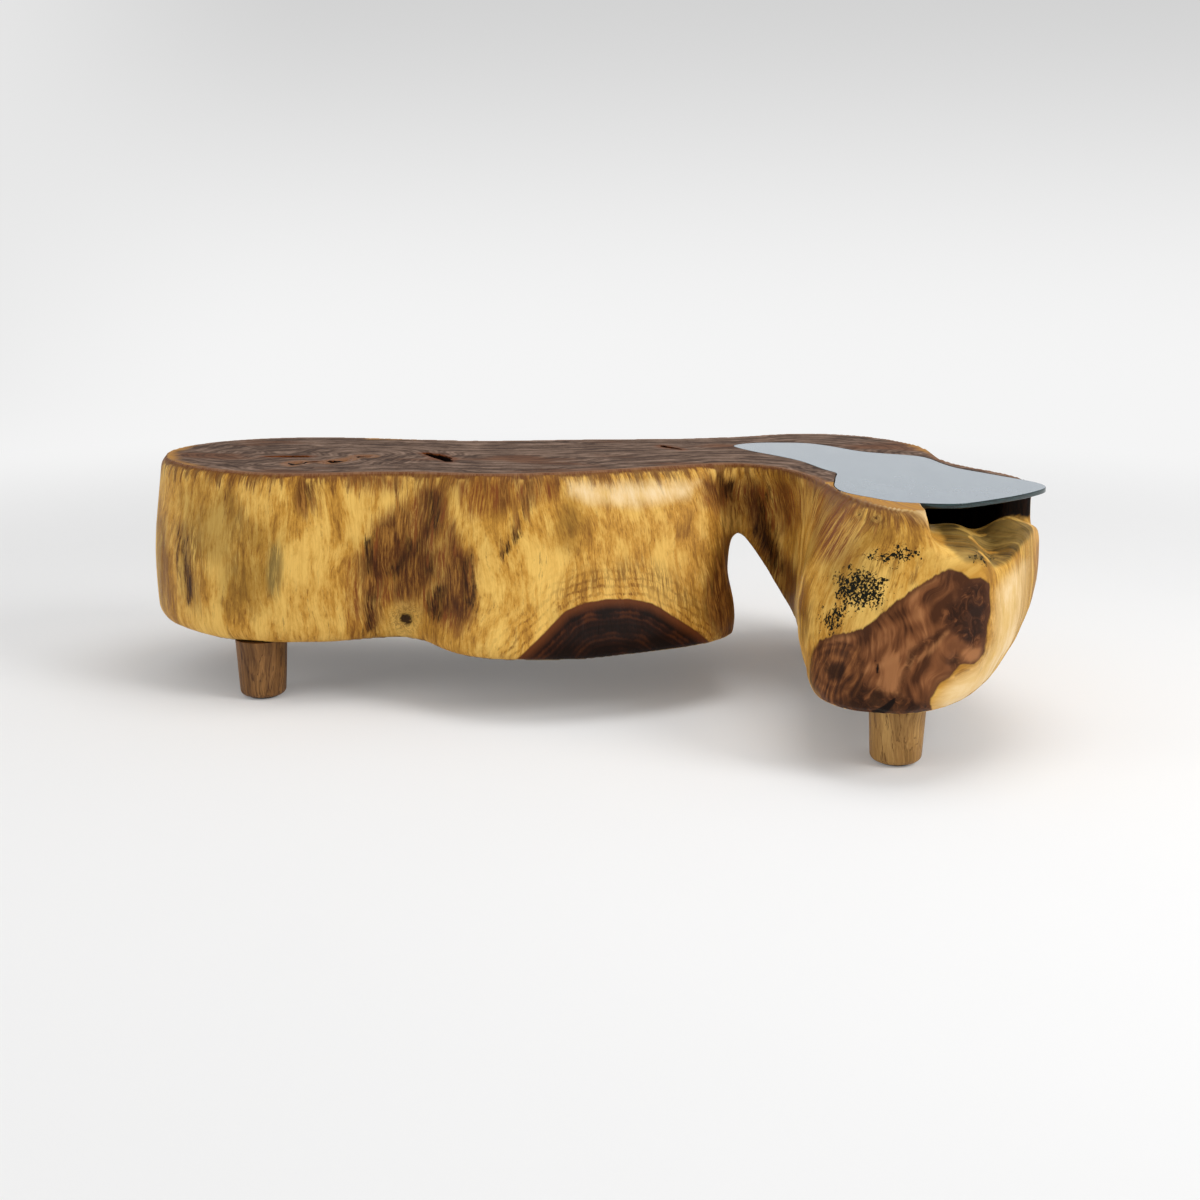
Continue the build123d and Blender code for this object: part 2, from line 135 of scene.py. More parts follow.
MARKINGS = (
    Marking(Tone.HEART, (
        (480, 720), (498, 690), (515, 661), (529, 648), (547, 630), (565, 611), (584, 603),
        (607, 599), (630, 599), (652, 603), (675, 617), (698, 632), (712, 644), (735, 665),
        (760, 720),
    )),
    Marking(Tone.BURL, (
        (813, 653), (818, 641), (835, 634), (855, 631), (873, 622), (890, 606), (911, 591),
        (931, 577), (949, 569), (961, 572), (970, 579), (981, 578), (990, 584), (991, 609),
        (987, 635), (985, 654), (975, 665), (961, 665), (950, 679), (940, 685), (931, 700),
        (940, 740), (860, 740), (823, 703), (813, 682),
    )),
    Marking(Tone.DEEP, (
        (942, 622), (946, 604), (958, 598), (966, 584), (984, 582), (989, 606), (987, 636),
        (974, 648), (962, 644), (952, 632),
    )),
    Marking(Tone.DEEP, (
        (826, 690), (850, 694), (872, 700), (896, 692), (930, 704), (930, 722), (862, 724), (836, 712),
    )),
    Marking(Tone.DEEP, ((945, 662), (956, 650), (962, 656), (960, 667), (950, 669))),
    Marking(Tone.DEEP, ((852, 684), (860, 678), (869, 684), (872, 700), (862, 705), (853, 697))),
    Marking(Tone.DEEP, (
        (908, 652), (926, 638), (942, 630), (944, 636), (930, 645), (916, 658), (906, 680),
        (903, 704), (897, 706), (900, 680),
    )),
    Marking(Tone.DEEP, ((815, 668), (822, 650), (840, 642), (852, 648), (838, 650), (825, 662), (820, 682))),
    Marking(Tone.CRACK, ((875, 660), (878, 663), (879, 675), (877, 674))),
    Marking(Tone.CRACK, ((872, 712), (884, 706), (896, 697), (895, 702), (888, 711), (874, 716))),
    Marking(Tone.GLOW, ((882, 656), (892, 650), (901, 654), (903, 668), (898, 690), (886, 696), (883, 676))),
    Marking(Tone.GLOW, ((963, 650), (974, 645), (983, 650), (980, 660), (970, 664), (963, 660))),
    Marking(Tone.GLOW, ((938, 640), (946, 631), (950, 632), (936, 650), (918, 662), (914, 660))),
    Marking(Tone.STAIN, (
        (358, 556), (372, 548), (378, 524), (394, 512), (408, 506), (413, 520), (408, 545), (396, 566),
        (384, 590), (376, 604), (364, 602), (360, 582),
    )),
    Marking(Tone.STAIN, (
        (417, 492), (428, 480), (448, 486), (446, 506), (440, 524), (432, 545), (430, 566), (422, 585),
        (410, 604), (396, 602), (390, 590), (400, 560), (412, 535), (418, 512),
    )),
    Marking(Tone.STAIN, (
        (446, 512), (454, 526), (463, 548), (476, 556), (474, 590), (472, 620), (460, 630), (450, 618),
        (434, 622), (424, 610), (438, 588), (446, 565), (448, 540),
    )),
    Marking(Tone.STAIN, (
        (386, 548), (400, 536), (420, 540), (438, 552), (436, 580), (420, 598), (404, 592), (390, 575),
    )),
    Marking(Tone.STAIN, ((362, 600), (376, 598), (380, 618), (372, 634), (362, 632))),
    Marking(Tone.STAIN, ((294, 476), (320, 476), (316, 505), (306, 517), (297, 508))),
    Marking(Tone.STAIN, ((520, 480), (532, 478), (534, 505), (526, 522), (510, 550), (500, 558), (508, 534), (518, 510))),
    Marking(Tone.STAIN, ((500, 478), (509, 478), (508, 506), (502, 520), (497, 505))),
    Marking(Tone.STAIN, ((177, 528), (184, 524), (190, 560), (195, 598), (187, 604), (180, 565))),
    Marking(Tone.STAIN, ((160, 520), (164, 518), (167, 560), (165, 606), (160, 588))),
    Marking(Tone.STAIN, ((748, 478), (760, 478), (768, 520), (778, 556), (770, 566), (754, 530), (744, 500))),
    Marking(Tone.STAIN, ((776, 480), (790, 482), (792, 520), (786, 530), (776, 505))),
    Marking(Tone.STAIN, ((780, 560), (792, 556), (804, 590), (804, 618), (790, 604))),
    Marking(Tone.STAIN, ((700, 478), (735, 478), (734, 500), (723, 512), (710, 506))),
    Marking(Tone.STAIN, ((855, 512), (890, 515), (889, 526), (874, 530), (860, 522))),
    Marking(Tone.CORE, ((430, 494), (440, 498), (438, 520), (430, 542), (425, 538), (430, 518))),
    Marking(Tone.CORE, ((410, 538), (419, 541), (408, 562), (394, 578), (388, 574), (400, 556))),
    Marking(Tone.CORE, ((422, 548), (430, 550), (432, 570), (426, 573))),
    Marking(Tone.CORE, ((463, 560), (471, 556), (473, 584), (470, 610), (465, 608), (464, 584))),
    Marking(Tone.CORE, ((438, 588), (446, 586), (440, 602), (442, 616), (430, 618), (428, 602))),
    Marking(Tone.CORE, ((364, 542), (372, 538), (377, 566), (370, 570))),
    Marking(Tone.CORE, ((370, 596), (378, 594), (374, 616), (369, 634), (363, 630), (367, 612))),
    Marking(Tone.CORE, ((516, 532), (520, 536), (508, 556), (500, 556), (504, 546))),
    Marking(Tone.SPLASH, (
        (354, 560), (366, 540), (374, 518), (392, 506), (414, 490), (431, 478), (448, 486), (452, 520),
        (464, 546), (478, 558), (475, 618), (456, 636), (438, 626), (414, 606), (386, 606), (378, 628),
        (364, 636), (358, 600),
    )),
    Marking(Tone.SPLASH, ((340, 474), (404, 477), (402, 490), (380, 496), (350, 491))),
    Marking(Tone.SPLASH, ((452, 478), (560, 480), (560, 500), (520, 506), (470, 520), (458, 505))),
    Marking(Tone.SPLASH, ((700, 478), (812, 484), (808, 520), (780, 540), (748, 520), (700, 506))),
    Marking(Tone.STAIN, ((704, 590), (712, 560), (724, 540), (738, 536), (738, 642), (722, 642), (708, 622))),
    Marking(Tone.SPLASH, ((800, 470), (850, 480), (862, 520), (850, 562), (818, 562), (806, 512))),
    Marking(Tone.CRACK, ((-501, 74), (-494, 98), (-474, 107), (-468, 82), (-489, 54)), Side.TOP),
    Marking(Tone.CRACK, ((-438, 94), (-424, 120), (-399, 145), (-393, 119), (-414, 90), (-432, 78)), Side.TOP),
    Marking(Tone.CRACK, ((-392, 172), (-364, 178), (-362, 158), (-388, 151)), Side.TOP),
    Marking(Tone.DEEP, ((838, 692), (860, 684), (884, 688), (894, 704), (870, 714), (848, 708))),
    Marking(Tone.SPLASH, ((752, 500), (764, 520), (790, 560), (808, 590), (808, 622), (780, 600), (758, 556))),
    # Pale wood with a painted highlight along the rim above the dark half-moon.
    Marking(Tone.PALE_AND_LIT, ((566, 481), (700, 481), (690, 500), (640, 508), (592, 506), (568, 496))),
    Marking(Tone.SPLASH, ((346, 560), (362, 556), (366, 610), (356, 636), (344, 620))),
    Marking(Tone.CORE, ((181, 535), (185, 540), (187, 572), (192, 598), (188, 600), (182, 570))),
    Marking(Tone.CORE, ((758, 500), (768, 490), (772, 530), (782, 570), (772, 572), (760, 545))),
    Marking(Tone.CORE, ((722, 480), (734, 482), (730, 500), (720, 500))),
    Marking(Tone.SMUDGE, (
        (266, 545), (276, 536), (284, 548), (285, 580), (278, 604), (266, 600), (262, 570),
    )),
    Marking(Tone.SMUDGE, ((229, 504), (236, 506), (239, 522), (233, 526))),
    Marking(Tone.SMUDGE, ((876, 597), (886, 600), (887, 616), (880, 621), (873, 611))),
    Marking(Tone.SPECK, ((832, 576), (848, 564), (870, 570), (890, 574), (892, 602), (866, 612), (838, 610))),
    Marking(Tone.SPECK, ((818, 626), (824, 608), (838, 606), (848, 614), (846, 624), (832, 632))),
    Marking(Tone.SPECK, ((858, 560), (880, 550), (906, 542), (922, 546), (918, 556), (896, 566))),
    Marking(Tone.SPECK, ((970, 554), (986, 549), (996, 556), (986, 564), (974, 562))),
    # Pale wood with a painted highlight: the right wall, which faces the light, and the strip in front of the pane.
    Marking(Tone.PALE_AND_LIT, (
        (931, 706), (950, 679), (975, 665), (990, 640), (994, 590), (1020, 560), (1030, 560),
        (1022, 640), (1000, 700), (960, 720),
    )),
    Marking(Tone.PALE_AND_LIT, (
        (840, 478), (870, 489), (940, 500), (944, 518), (932, 530), (900, 512), (866, 502), (846, 494),
    )),
    # Dark heartwood with painted shade: the hollow's far walls, seen under the pane.
    Marking(Tone.INNER_HEART_AND_SHADE, (
        (925, 488), (1048, 478), (1048, 500), (1043, 562), (1036, 562), (1036, 533), (1030, 526), (1018, 517),
        (1000, 522), (978, 532), (960, 526), (930, 522),
    )),
    Marking(Tone.SHELF, (
        (938, 528), (946, 515), (1040, 515), (1040, 548), (1012, 562), (986, 570), (962, 560), (946, 548),
    )),
    # Painted shade, mixed with darker grain: the left end away from the light, the band above the half-moon and the
    # edges by the arch.
    Marking(Tone.SHADE, ((146, 500), (158, 496), (168, 550), (168, 620), (156, 610))),
    Marking(Tone.SHADE, ((176, 522), (198, 520), (206, 560), (200, 612), (182, 596))),
    Marking(Tone.SHADE, ((228, 500), (244, 506), (248, 545), (244, 590), (254, 618), (240, 616), (232, 570))),
    Marking(Tone.SHADE, (
        (556, 596), (580, 570), (640, 560), (690, 584), (716, 612), (742, 650), (716, 640), (690, 612),
        (650, 590), (604, 586), (570, 604),
    )),
    Marking(Tone.SHADE, (
        (744, 500), (752, 496), (768, 530), (784, 564), (800, 596), (812, 612), (814, 640), (800, 640),
        (770, 600), (752, 550),
    )),
    Marking(Tone.SHADE, ((700, 560), (714, 520), (738, 500), (742, 650), (722, 645), (704, 610))),
    Marking(Tone.SHADE, ((862, 560), (878, 553), (900, 556), (896, 572), (872, 574))),
    # Pale wood on the top, partly a painted highlight near the edges and the pane.
    Marking(Tone.PALE_AND_LIT, (
        (-762, 215), (-727, 100), (-650, 18), (-640, 42), (-700, 120), (-726, 215), (-706, 300), (-730, 322),
    ), Side.TOP),
    Marking(Tone.PALE_AND_LIT, (
        (405, -120), (425, -230), (450, -300), (480, -400), (600, -440), (720, -360), (720, -120),
    ), Side.TOP),
    Marking(Tone.PALE_AND_LIT, ((625, 330), (650, 200), (720, 140), (720, 360), (650, 360)), Side.TOP),
    Marking(Tone.PALE_AND_LIT, ((-400, 382), (-290, 382), (-280, 450), (-410, 450)), Side.TOP),
    Marking(Tone.HEART, (
        (230, 60), (205, 120), (150, 168), (70, 196), (-10, 190), (-75, 160), (-110, 110), (-120, 60),
    ), Side.REAR),
    Marking(Tone.STAIN, (
        (-420, 330), (-395, 300), (-385, 230), (-400, 160), (-440, 120), (-480, 150), (-470, 240),
        (-455, 320),
    ), Side.REAR),
    Marking(Tone.CORE, ((-440, 300), (-425, 240), (-430, 170), (-446, 180), (-450, 260)), Side.REAR),
    Marking(Tone.STAIN, (
        (300, 420), (370, 420), (365, 330), (345, 250), (320, 210), (300, 260), (290, 340),
    ), Side.REAR),
    Marking(Tone.CORE, ((320, 400), (345, 400), (342, 320), (325, 260), (316, 320)), Side.REAR),
    Marking(Tone.STAIN, ((-230, 420), (-190, 420), (-200, 360), (-215, 340)), Side.REAR),
    Marking(Tone.SPECK, (
        (430, 200), (500, 190), (560, 230), (550, 290), (480, 310), (430, 270),
    ), Side.REAR),
    Marking(Tone.SMUDGE, ((-600, 180), (-570, 180), (-560, 270), (-590, 290)), Side.REAR),
    Marking(Tone.SMUDGE, ((-290, 150), (-265, 160), (-270, 240), (-295, 230)), Side.REAR),
)

EYES = (
    Eye(Tone.EYE, (839, 673), 29, 0.0014),
    Eye(Tone.KNOT, (406, 618), 10, 0.012),
    Eye(Tone.KNOT, (859, 514), 3, 0.001),
    Eye(Tone.KNOT, (877, 518), 3, 0.001),
    Eye(Tone.KNOT, (-505, 215), 20, 0.009, Side.REAR),
    Eye(Tone.KNOT, (180, 262), 15, 0.006, Side.REAR),
)


def deselect_all() -> None:
    """Deselects every object."""
    bpy.ops.object.select_all(action="DESELECT")


def activate(piece: bpy.types.Object) -> None:
    """Makes a piece the only selected one, and the active one.

    Args:
        piece: The object to work on.
    """
    deselect_all()
    piece.select_set(True)
    bpy.context.view_layer.objects.active = piece


@contextmanager
def editing(piece: bpy.types.Object, mode: str = "VERT") -> Iterator[None]:
    """Holds a piece in edit mode with nothing selected.

    Args:
        piece: The mesh object to edit.
        mode: Which elements are selected, VERT, EDGE or FACE.
    """
    activate(piece)
    bpy.ops.object.mode_set(mode="EDIT")
    bpy.ops.mesh.select_mode(type=mode)
    bpy.ops.mesh.select_all(action="DESELECT")
    try:
        yield
    finally:
        bpy.ops.object.mode_set(mode="OBJECT")


def pick(piece: bpy.types.Object, kind: str, test: Callable[[object], bool]) -> int:
    """Selects elements of the piece in edit mode by their place or normal.

    Args:
        piece: The mesh object in edit mode.
        kind: verts, edges or faces.
        test: Says whether an element is selected.

    Returns:
        How many elements are selected.
    """
    held = bmesh.from_edit_mesh(piece.data)
    count = 0
    for element in getattr(held, kind):
        chosen = test(element)
        element.select_set(chosen)
        count += chosen
    held.select_flush_mode()
    bmesh.update_edit_mesh(piece.data)
    return count


def apply_modifier(piece: bpy.types.Object, kind: str, **settings: object) -> None:
    """Adds a modifier to the piece, sets it and applies it.

    Args:
        piece: The mesh object.
        kind: The modifier's type.
        settings: The modifier's values.
    """
    activate(piece)
    modifier = piece.modifiers.new(kind.title(), kind)
    for name, value in settings.items():
        setattr(modifier, name, value)
    bpy.ops.object.modifier_apply(modifier=modifier.name)


def settle(piece: bpy.types.Object) -> bpy.types.Object:
    """Puts the piece's place into its mesh, so that its object sits at the origin.

    Args:
        piece: The mesh object.

    Returns:
        The same object.
    """
    activate(piece)
    bpy.ops.object.transform_apply(location=True, rotation=True, scale=True)
    return piece


def twin(piece: bpy.types.Object, name: str, shift: Sequence[float], turn: float = 0.0) -> bpy.types.Object:
    """Copies a piece with its own mesh, turned about Z and then moved.

    Args:
        piece: The mesh object to copy.
        name: The copy's name.
        shift: How far it moves.
        turn: The turn about its own Z axis, in radians.

    Returns:
        The copy, with its place in its mesh.
    """
    copy = bpy.data.objects.new(name, piece.data.copy())
    copy.data.name = name
    bpy.context.scene.collection.objects.link(copy)
    copy.data.transform(Matrix.Translation(Vector(shift)) @ Matrix.Rotation(turn, 4, "Z"))
    return copy


def copy_of_node(node: bpy.types.Object, name: str) -> bpy.types.Object:
    """Copies the mesh of a fixed node into a new piece and merges its loose triangles.

    Args:
        node: The node to copy, which stays as it is.
        name: The new piece's name.

    Returns:
        The new piece.
    """
    piece = bpy.data.objects.new(name, node.data.copy())
    piece.data.name = name
    piece.data.materials.clear()
    bpy.context.scene.collection.objects.link(piece)
    with editing(piece):
        bpy.ops.mesh.select_all(action="SELECT")
        bpy.ops.mesh.remove_doubles(threshold=0.00002)
    return piece


def prism(name: str, outline: Outline, low: float, high: float) -> bpy.types.Object:
    """Models an upright block with a given plan.

    Args:
        name: The block's name.
        outline: The plan's corners in order.
        low: The height of its underside.
        high: The height of its top.

    Returns:
        The block.
    """
    deselect_all()
    bpy.ops.mesh.primitive_circle_add(vertices=len(outline), fill_type="NGON", location=(0, 0, 0))
    block = bpy.context.active_object
    block.name = name
    for vertex, (x, y) in zip(block.data.vertices, outline):
        vertex.co = (x, y, low)
    with editing(block, "FACE"):
        bpy.ops.mesh.select_all(action="SELECT")
        bpy.ops.mesh.extrude_region_move(TRANSFORM_OT_translate={"value": (0, 0, high - low)})
        bpy.ops.mesh.select_all(action="SELECT")
        bpy.ops.mesh.normals_make_consistent(inside=False)
    return block


def join(target: bpy.types.Object, others: Iterable[bpy.types.Object]) -> None:
    """Joins other meshes into the target.

    Args:
        target: The piece that takes them in.
        others: The pieces that go into it.
    """
    activate(target)
    for other in others:
        other.select_set(True)
    bpy.ops.object.join()


def carve(piece: bpy.types.Object, cutter: bpy.types.Object) -> None:
    """Takes the cutter's shape out of the piece and removes the cutter.

    Args:
        piece: The piece that is cut.
        cutter: The closed shape that is taken away.
    """
    apply_modifier(piece, "BOOLEAN", operation="DIFFERENCE", object=cutter, solver="EXACT")
    bpy.data.objects.remove(cutter)


def places(piece: bpy.types.Object) -> np.ndarray:
    """Reads the places of a piece's vertices as an array of rows."""
    found = np.empty(len(piece.data.vertices) * 3, np.float32)
    piece.data.vertices.foreach_get("co", found)
    return found.reshape(-1, 3).astype(float)


def directions(piece: bpy.types.Object) -> np.ndarray:
    """Reads the normals of a piece's vertices as an array of rows."""
    found = np.empty(len(piece.data.vertices) * 3, np.float32)
    piece.data.vertices.foreach_get("normal", found)
    return found.reshape(-1, 3).astype(float)


def put_places(piece: bpy.types.Object, rows: np.ndarray) -> None:
    """Writes the places of a piece's vertices from an array of rows."""
    piece.data.vertices.foreach_set("co", rows.astype(np.float32).ravel())
    piece.data.update()


def closed_walk(edges: Iterable[bmesh.types.BMEdge]) -> list[Vector]:
    """Walks round the longest closed chain of edges.

    Args:
        edges: Edges that form one or more closed chains.

    Returns:
        The chain's corners in order.
    """
    follow: dict[int, list[bmesh.types.BMVert]] = {}
    for edge in edges:
        for here, there in (edge.verts, reversed(edge.verts)):
            follow.setdefault(here.index, []).append(there)
    best, longest, seen = [], 0.0, set()
    for edge in edges:
        first = edge.verts[0]
        if first.index in seen:
            continue
        walk, before, here = [first], None, first
        while True:
            seen.add(here.index)
            step = next((v for v in follow[here.index] if v is not before and v not in walk[1:]), None)
            if step is None or step is first:
                break
            walk.append(step)
            before, here = here, step
        corners = [v.co.copy() for v in walk]
        size = sum((b - a).length for a, b in zip(corners, corners[1:] + corners[:1]))
        if size > longest:
            best, longest = corners, size
    return best


def inside_distance(points: np.ndarray, outline: Outline) -> np.ndarray:
    """Measures how far points lie inside a closed outline.

    Args:
        points: Rows of two coordinates.
        outline: The outline's corners in order.

    Returns:
        The distance of each point from the outline, below zero outside it.
    """
    corners = np.asarray(outline, float)
    nearest = np.full(len(points), np.inf)
    inside = np.zeros(len(points), bool)
    for start, end in zip(corners, np.roll(corners, -1, axis=0)):
        along = end - start
        share = np.clip(((points - start) @ along) / (along @ along), 0, 1)
        nearest = np.minimum(nearest, np.hypot(*(points - start - share[:, None] * along).T))
        crosses = (start[1] > points[:, 1]) != (end[1] > points[:, 1])
        rise = along[1] if along[1] else 1e-9
        inside ^= crosses & (points[:, 0] < start[0] + (points[:, 1] - start[1]) * along[0] / rise)
    return np.where(inside, nearest, -nearest)


def softened(values: np.ndarray, low: float, high: float) -> np.ndarray:
    """Eases values from 0 at low to 1 at high."""
    share = np.clip((values - low) / (high - low), 0, 1)
    return share * share * (3 - 2 * share)


def paint(colour: Colour, alpha: float = 1.0) -> tuple[float, float, float, float]:
    """Turns a screen colour into the renderer's own values.

    Args:
        colour: Red, green and blue from 0 to 255.
        alpha: The opacity.

    Returns:
        The linear colour with its opacity.
    """
    linear = [v / 12.92 if v <= 0.04045 else ((v + 0.055) / 1.055) ** 2.4 for v in (c / 255 for c in colour)]
    return (linear[0], linear[1], linear[2], alpha)


@dataclass
class PhotoView:
    """The photograph's camera, which also places the markings on the front."""

    eye: tuple[float, float, float] = (0.05, -2.88, 0.85)
    focal: float = 1700.0
    middle: float = 600.0
    horizon: float = 200.0
    sensor: float = 36.0

    @property
    def pitch(self) -> float:
        """How far the camera looks down, in radians."""
        return math.atan((self.middle - self.horizon) / self.focal)

    def pixels(self, points: np.ndarray) -> np.ndarray:
        """Finds where points show in the photograph.

        Args:
            points: Rows of X, Y and Z.

        Returns:
            Rows of pixel columns and rows.
        """
        away = points - np.array(self.eye)
        depth = away[:, 1] * math.cos(self.pitch) - away[:, 2] * math.sin(self.pitch)
        up = away[:, 1] * math.sin(self.pitch) + away[:, 2] * math.cos(self.pitch)
        return np.c_[
            self.middle + self.focal * away[:, 0] / depth,
            self.middle - self.focal * up / depth,
        ]

    def facing(self, points: np.ndarray, normals: np.ndarray) -> np.ndarray:
        """Measures how squarely surfaces face the camera, from -1 to 1."""
        toward = np.array(self.eye) - points
        toward /= np.linalg.norm(toward, axis=1)[:, None]
        return (toward * normals).sum(axis=1)

    def build(self) -> None:
        """Makes the camera and gives it to the scene."""
        lens = bpy.data.cameras.new("Camera")
        lens.sensor_width = self.sensor
        lens.lens = self.focal / (2 * self.middle) * self.sensor
        lens.clip_end = 60
        holder = bpy.data.objects.new("Camera", lens)
        holder.location = self.eye
        holder.rotation_euler = (math.pi / 2 - self.pitch, 0, 0)
        bpy.context.scene.collection.objects.link(holder)
        bpy.context.scene.camera = holder


class Palette:
    """Lays out the nodes of one material."""

    def __init__(self, name: str) -> None:
        """Starts an empty material.

        Args:
            name: The material's name.
        """
        self.material = bpy.data.materials.new(name)
        self.material.use_nodes = True
        self.tree = self.material.node_tree
        self.tree.nodes.clear()
        self.output = self.tree.nodes.new("ShaderNodeOutputMaterial")

    def add(self, kind: str, **settings: object) -> bpy.types.Node:
        """Adds a node and sets its properties."""
        node = self.tree.nodes.new(kind)
        for name, value in settings.items():
            setattr(node, name, value)
        return node

    def feed(self, socket: bpy.types.NodeSocket, value: object) -> None:
        """Links a socket to another, or writes a plain value into it."""
        if isinstance(value, bpy.types.NodeSocket):
            self.tree.links.new(value, socket)
        else:
            socket.default_value = value

    def attribute(self, tone: Tone) -> bpy.types.NodeSocket:
        """Reads one of the piece's own attributes."""
        return self.add("ShaderNodeAttribute", attribute_name=tone.value).outputs["Fac"]

    def wall(self) -> bpy.types.NodeSocket:
        """Makes coordinates that follow the walls: X runs round the trunk and Z up to its rim."""
        joined = self.add("ShaderNodeCombineXYZ")
        self.feed(joined.inputs[0], self.attribute(Tone.AROUND))
        self.feed(joined.inputs[2], self.attribute(Tone.DOWN))
        return joined.outputs[0]

    def space(
        self, scale: Sequence[float], turn: Sequence[float] = (0, 0, 0), shift: Sequence[float] = (0, 0, 0),
        warp: bpy.types.NodeSocket | None = None, base: bpy.types.NodeSocket | None = None,
    ) -> bpy.types.NodeSocket:
        """Reads coordinates, stretched and turned.

        Args:
            scale: The stretch along X, Y and Z.
            turn: The turn about X, Y and Z in radians.
            shift: The move along X, Y and Z, after the stretch.
            warp: A vector that is added to the coordinates first.
            base: The coordinates, or None for the object's own.

        Returns:
            The vector socket.
        """
        vector = base or self.add("ShaderNodeTexCoord").outputs["Object"]
        if warp is not None:
            plus = self.add("ShaderNodeVectorMath", operation="ADD")
            self.feed(plus.inputs[0], vector)
            self.feed(plus.inputs[1], warp)
            vector = plus.outputs[0]
        mapping = self.add("ShaderNodeMapping")
        self.feed(mapping.inputs["Vector"], vector)
        mapping.inputs["Scale"].default_value = scale
        mapping.inputs["Rotation"].default_value = turn
        mapping.inputs["Location"].default_value = shift
        return mapping.outputs[0]

    def drift(self, scale: float, reach: float) -> bpy.types.NodeSocket:
        """Makes a slowly changing vector that bends a pattern.

        Args:
            scale: How quickly it changes.
            reach: How far it moves the pattern, in metres.

        Returns:
            The vector socket.
        """
        noise = self.add("ShaderNodeTexNoise")
        self.feed(noise.inputs["Vector"], self.space((scale, scale, scale)))
        noise.inputs["Scale"].default_value = 1.0
        noise.inputs["Detail"].default_value = 2.0
        less = self.add("ShaderNodeVectorMath", operation="SUBTRACT")
        self.feed(less.inputs[0], noise.outputs["Color"])
        less.inputs[1].default_value = (0.5, 0.5, 0.5)
        sized = self.add("ShaderNodeVectorMath", operation="SCALE")
        self.feed(sized.inputs[0], less.outputs[0])
        sized.inputs["Scale"].default_value = reach
        return sized.outputs[0]

    def noise(
        self, vector: bpy.types.NodeSocket, scale: float = 1.0, detail: float = 3.0, rough: float = 0.55,
        twist: float = 0.0,
    ) -> bpy.types.NodeSocket:
        """Makes a cloudy pattern from 0 to 1."""
        node = self.add("ShaderNodeTexNoise")
        self.feed(node.inputs["Vector"], vector)
        node.inputs["Scale"].default_value = scale
        node.inputs["Detail"].default_value = detail
        node.inputs["Roughness"].default_value = rough
        node.inputs["Distortion"].default_value = twist
        return node.outputs["Fac"]

    def cells(self, vector: bpy.types.NodeSocket, scale: float) -> bpy.types.NodeSocket:
        """Makes the distance from scattered points."""
        node = self.add("ShaderNodeTexVoronoi")
        self.feed(node.inputs["Vector"], vector)
        node.inputs["Scale"].default_value = scale
        return node.outputs["Distance"]

    def sum(self, operation: str, first: object, second: object = 0.0, third: object = 0.0) -> bpy.types.NodeSocket:
        """Works out a sum of values."""
        node = self.add("ShaderNodeMath", operation=operation)
        self.feed(node.inputs[0], first)
        self.feed(node.inputs[1], second)
        if operation == "MULTIPLY_ADD":
            self.feed(node.inputs[2], third)
        return node.outputs[0]

    def ease(
        self, value: object, low: float, high: float, start: float = 0.0, end: float = 1.0
    ) -> bpy.types.NodeSocket:
        """Eases a value from start at low to end at high."""
        node = self.add("ShaderNodeMapRange", interpolation_type="SMOOTHSTEP")
        self.feed(node.inputs["Value"], value)
        node.inputs["From Min"].default_value = low
        node.inputs["From Max"].default_value = high
        node.inputs["To Min"].default_value = start
        node.inputs["To Max"].default_value = end
        return node.outputs["Result"]

    def ramp(self, value: object, stops: Sequence[tuple[float, Colour]]) -> bpy.types.NodeSocket:
        """Turns a value into a colour by a row of stops."""
        node = self.add("ShaderNodeValToRGB")
        self.feed(node.inputs[0], value)
        steps = node.color_ramp.elements
        while len(steps) < len(stops):
            steps.new(0.5)
        for step, (place, colour) in zip(steps, stops):
            step.position = place
            step.color = paint(colour)
        return node.outputs["Color"]

    def mix(self, share: object, first: object, second: object, blend: str = "MIX") -> bpy.types.NodeSocket:
        """Mixes two colours.

        Args:
            share: How much of the second shows.
            first: A colour socket, or a screen colour.
            second: A colour socket, or a screen colour.
            blend: The way of mixing.

        Returns:
            The colour socket.
        """
        node = self.add("ShaderNodeMix", data_type="RGBA", blend_type=blend)
        self.feed(node.inputs[0], share)
        for socket, value in ((node.inputs[6], first), (node.inputs[7], second)):
            self.feed(socket, paint(value) if isinstance(value, tuple) else value)
        return node.outputs[2]

    def relief(self, *layers: tuple[bpy.types.NodeSocket, float]) -> bpy.types.NodeSocket:
        """Stacks bumps, each by its height pattern and its depth in metres."""
        normal = None
        for height, depth in layers:
            node = self.add("ShaderNodeBump")
            node.inputs["Strength"].default_value = 1.0
            node.inputs["Distance"].default_value = depth
            self.feed(node.inputs["Height"], height)
            if normal is not None:
                self.feed(node.inputs["Normal"], normal)
            normal = node.outputs[0]
        return normal

    def finish(self, **inputs: object) -> bpy.types.Material:
        """Closes the material with its shader.

        Args:
            inputs: The shader's sockets by name, with _ for a space.

        Returns:
            The material.
        """
        shader = self.add("ShaderNodeBsdfPrincipled")
        for name, value in inputs.items():
            self.feed(shader.inputs[name.replace("_", " ")], value)
        self.tree.links.new(shader.outputs[0], self.output.inputs["Surface"])
        return self.material


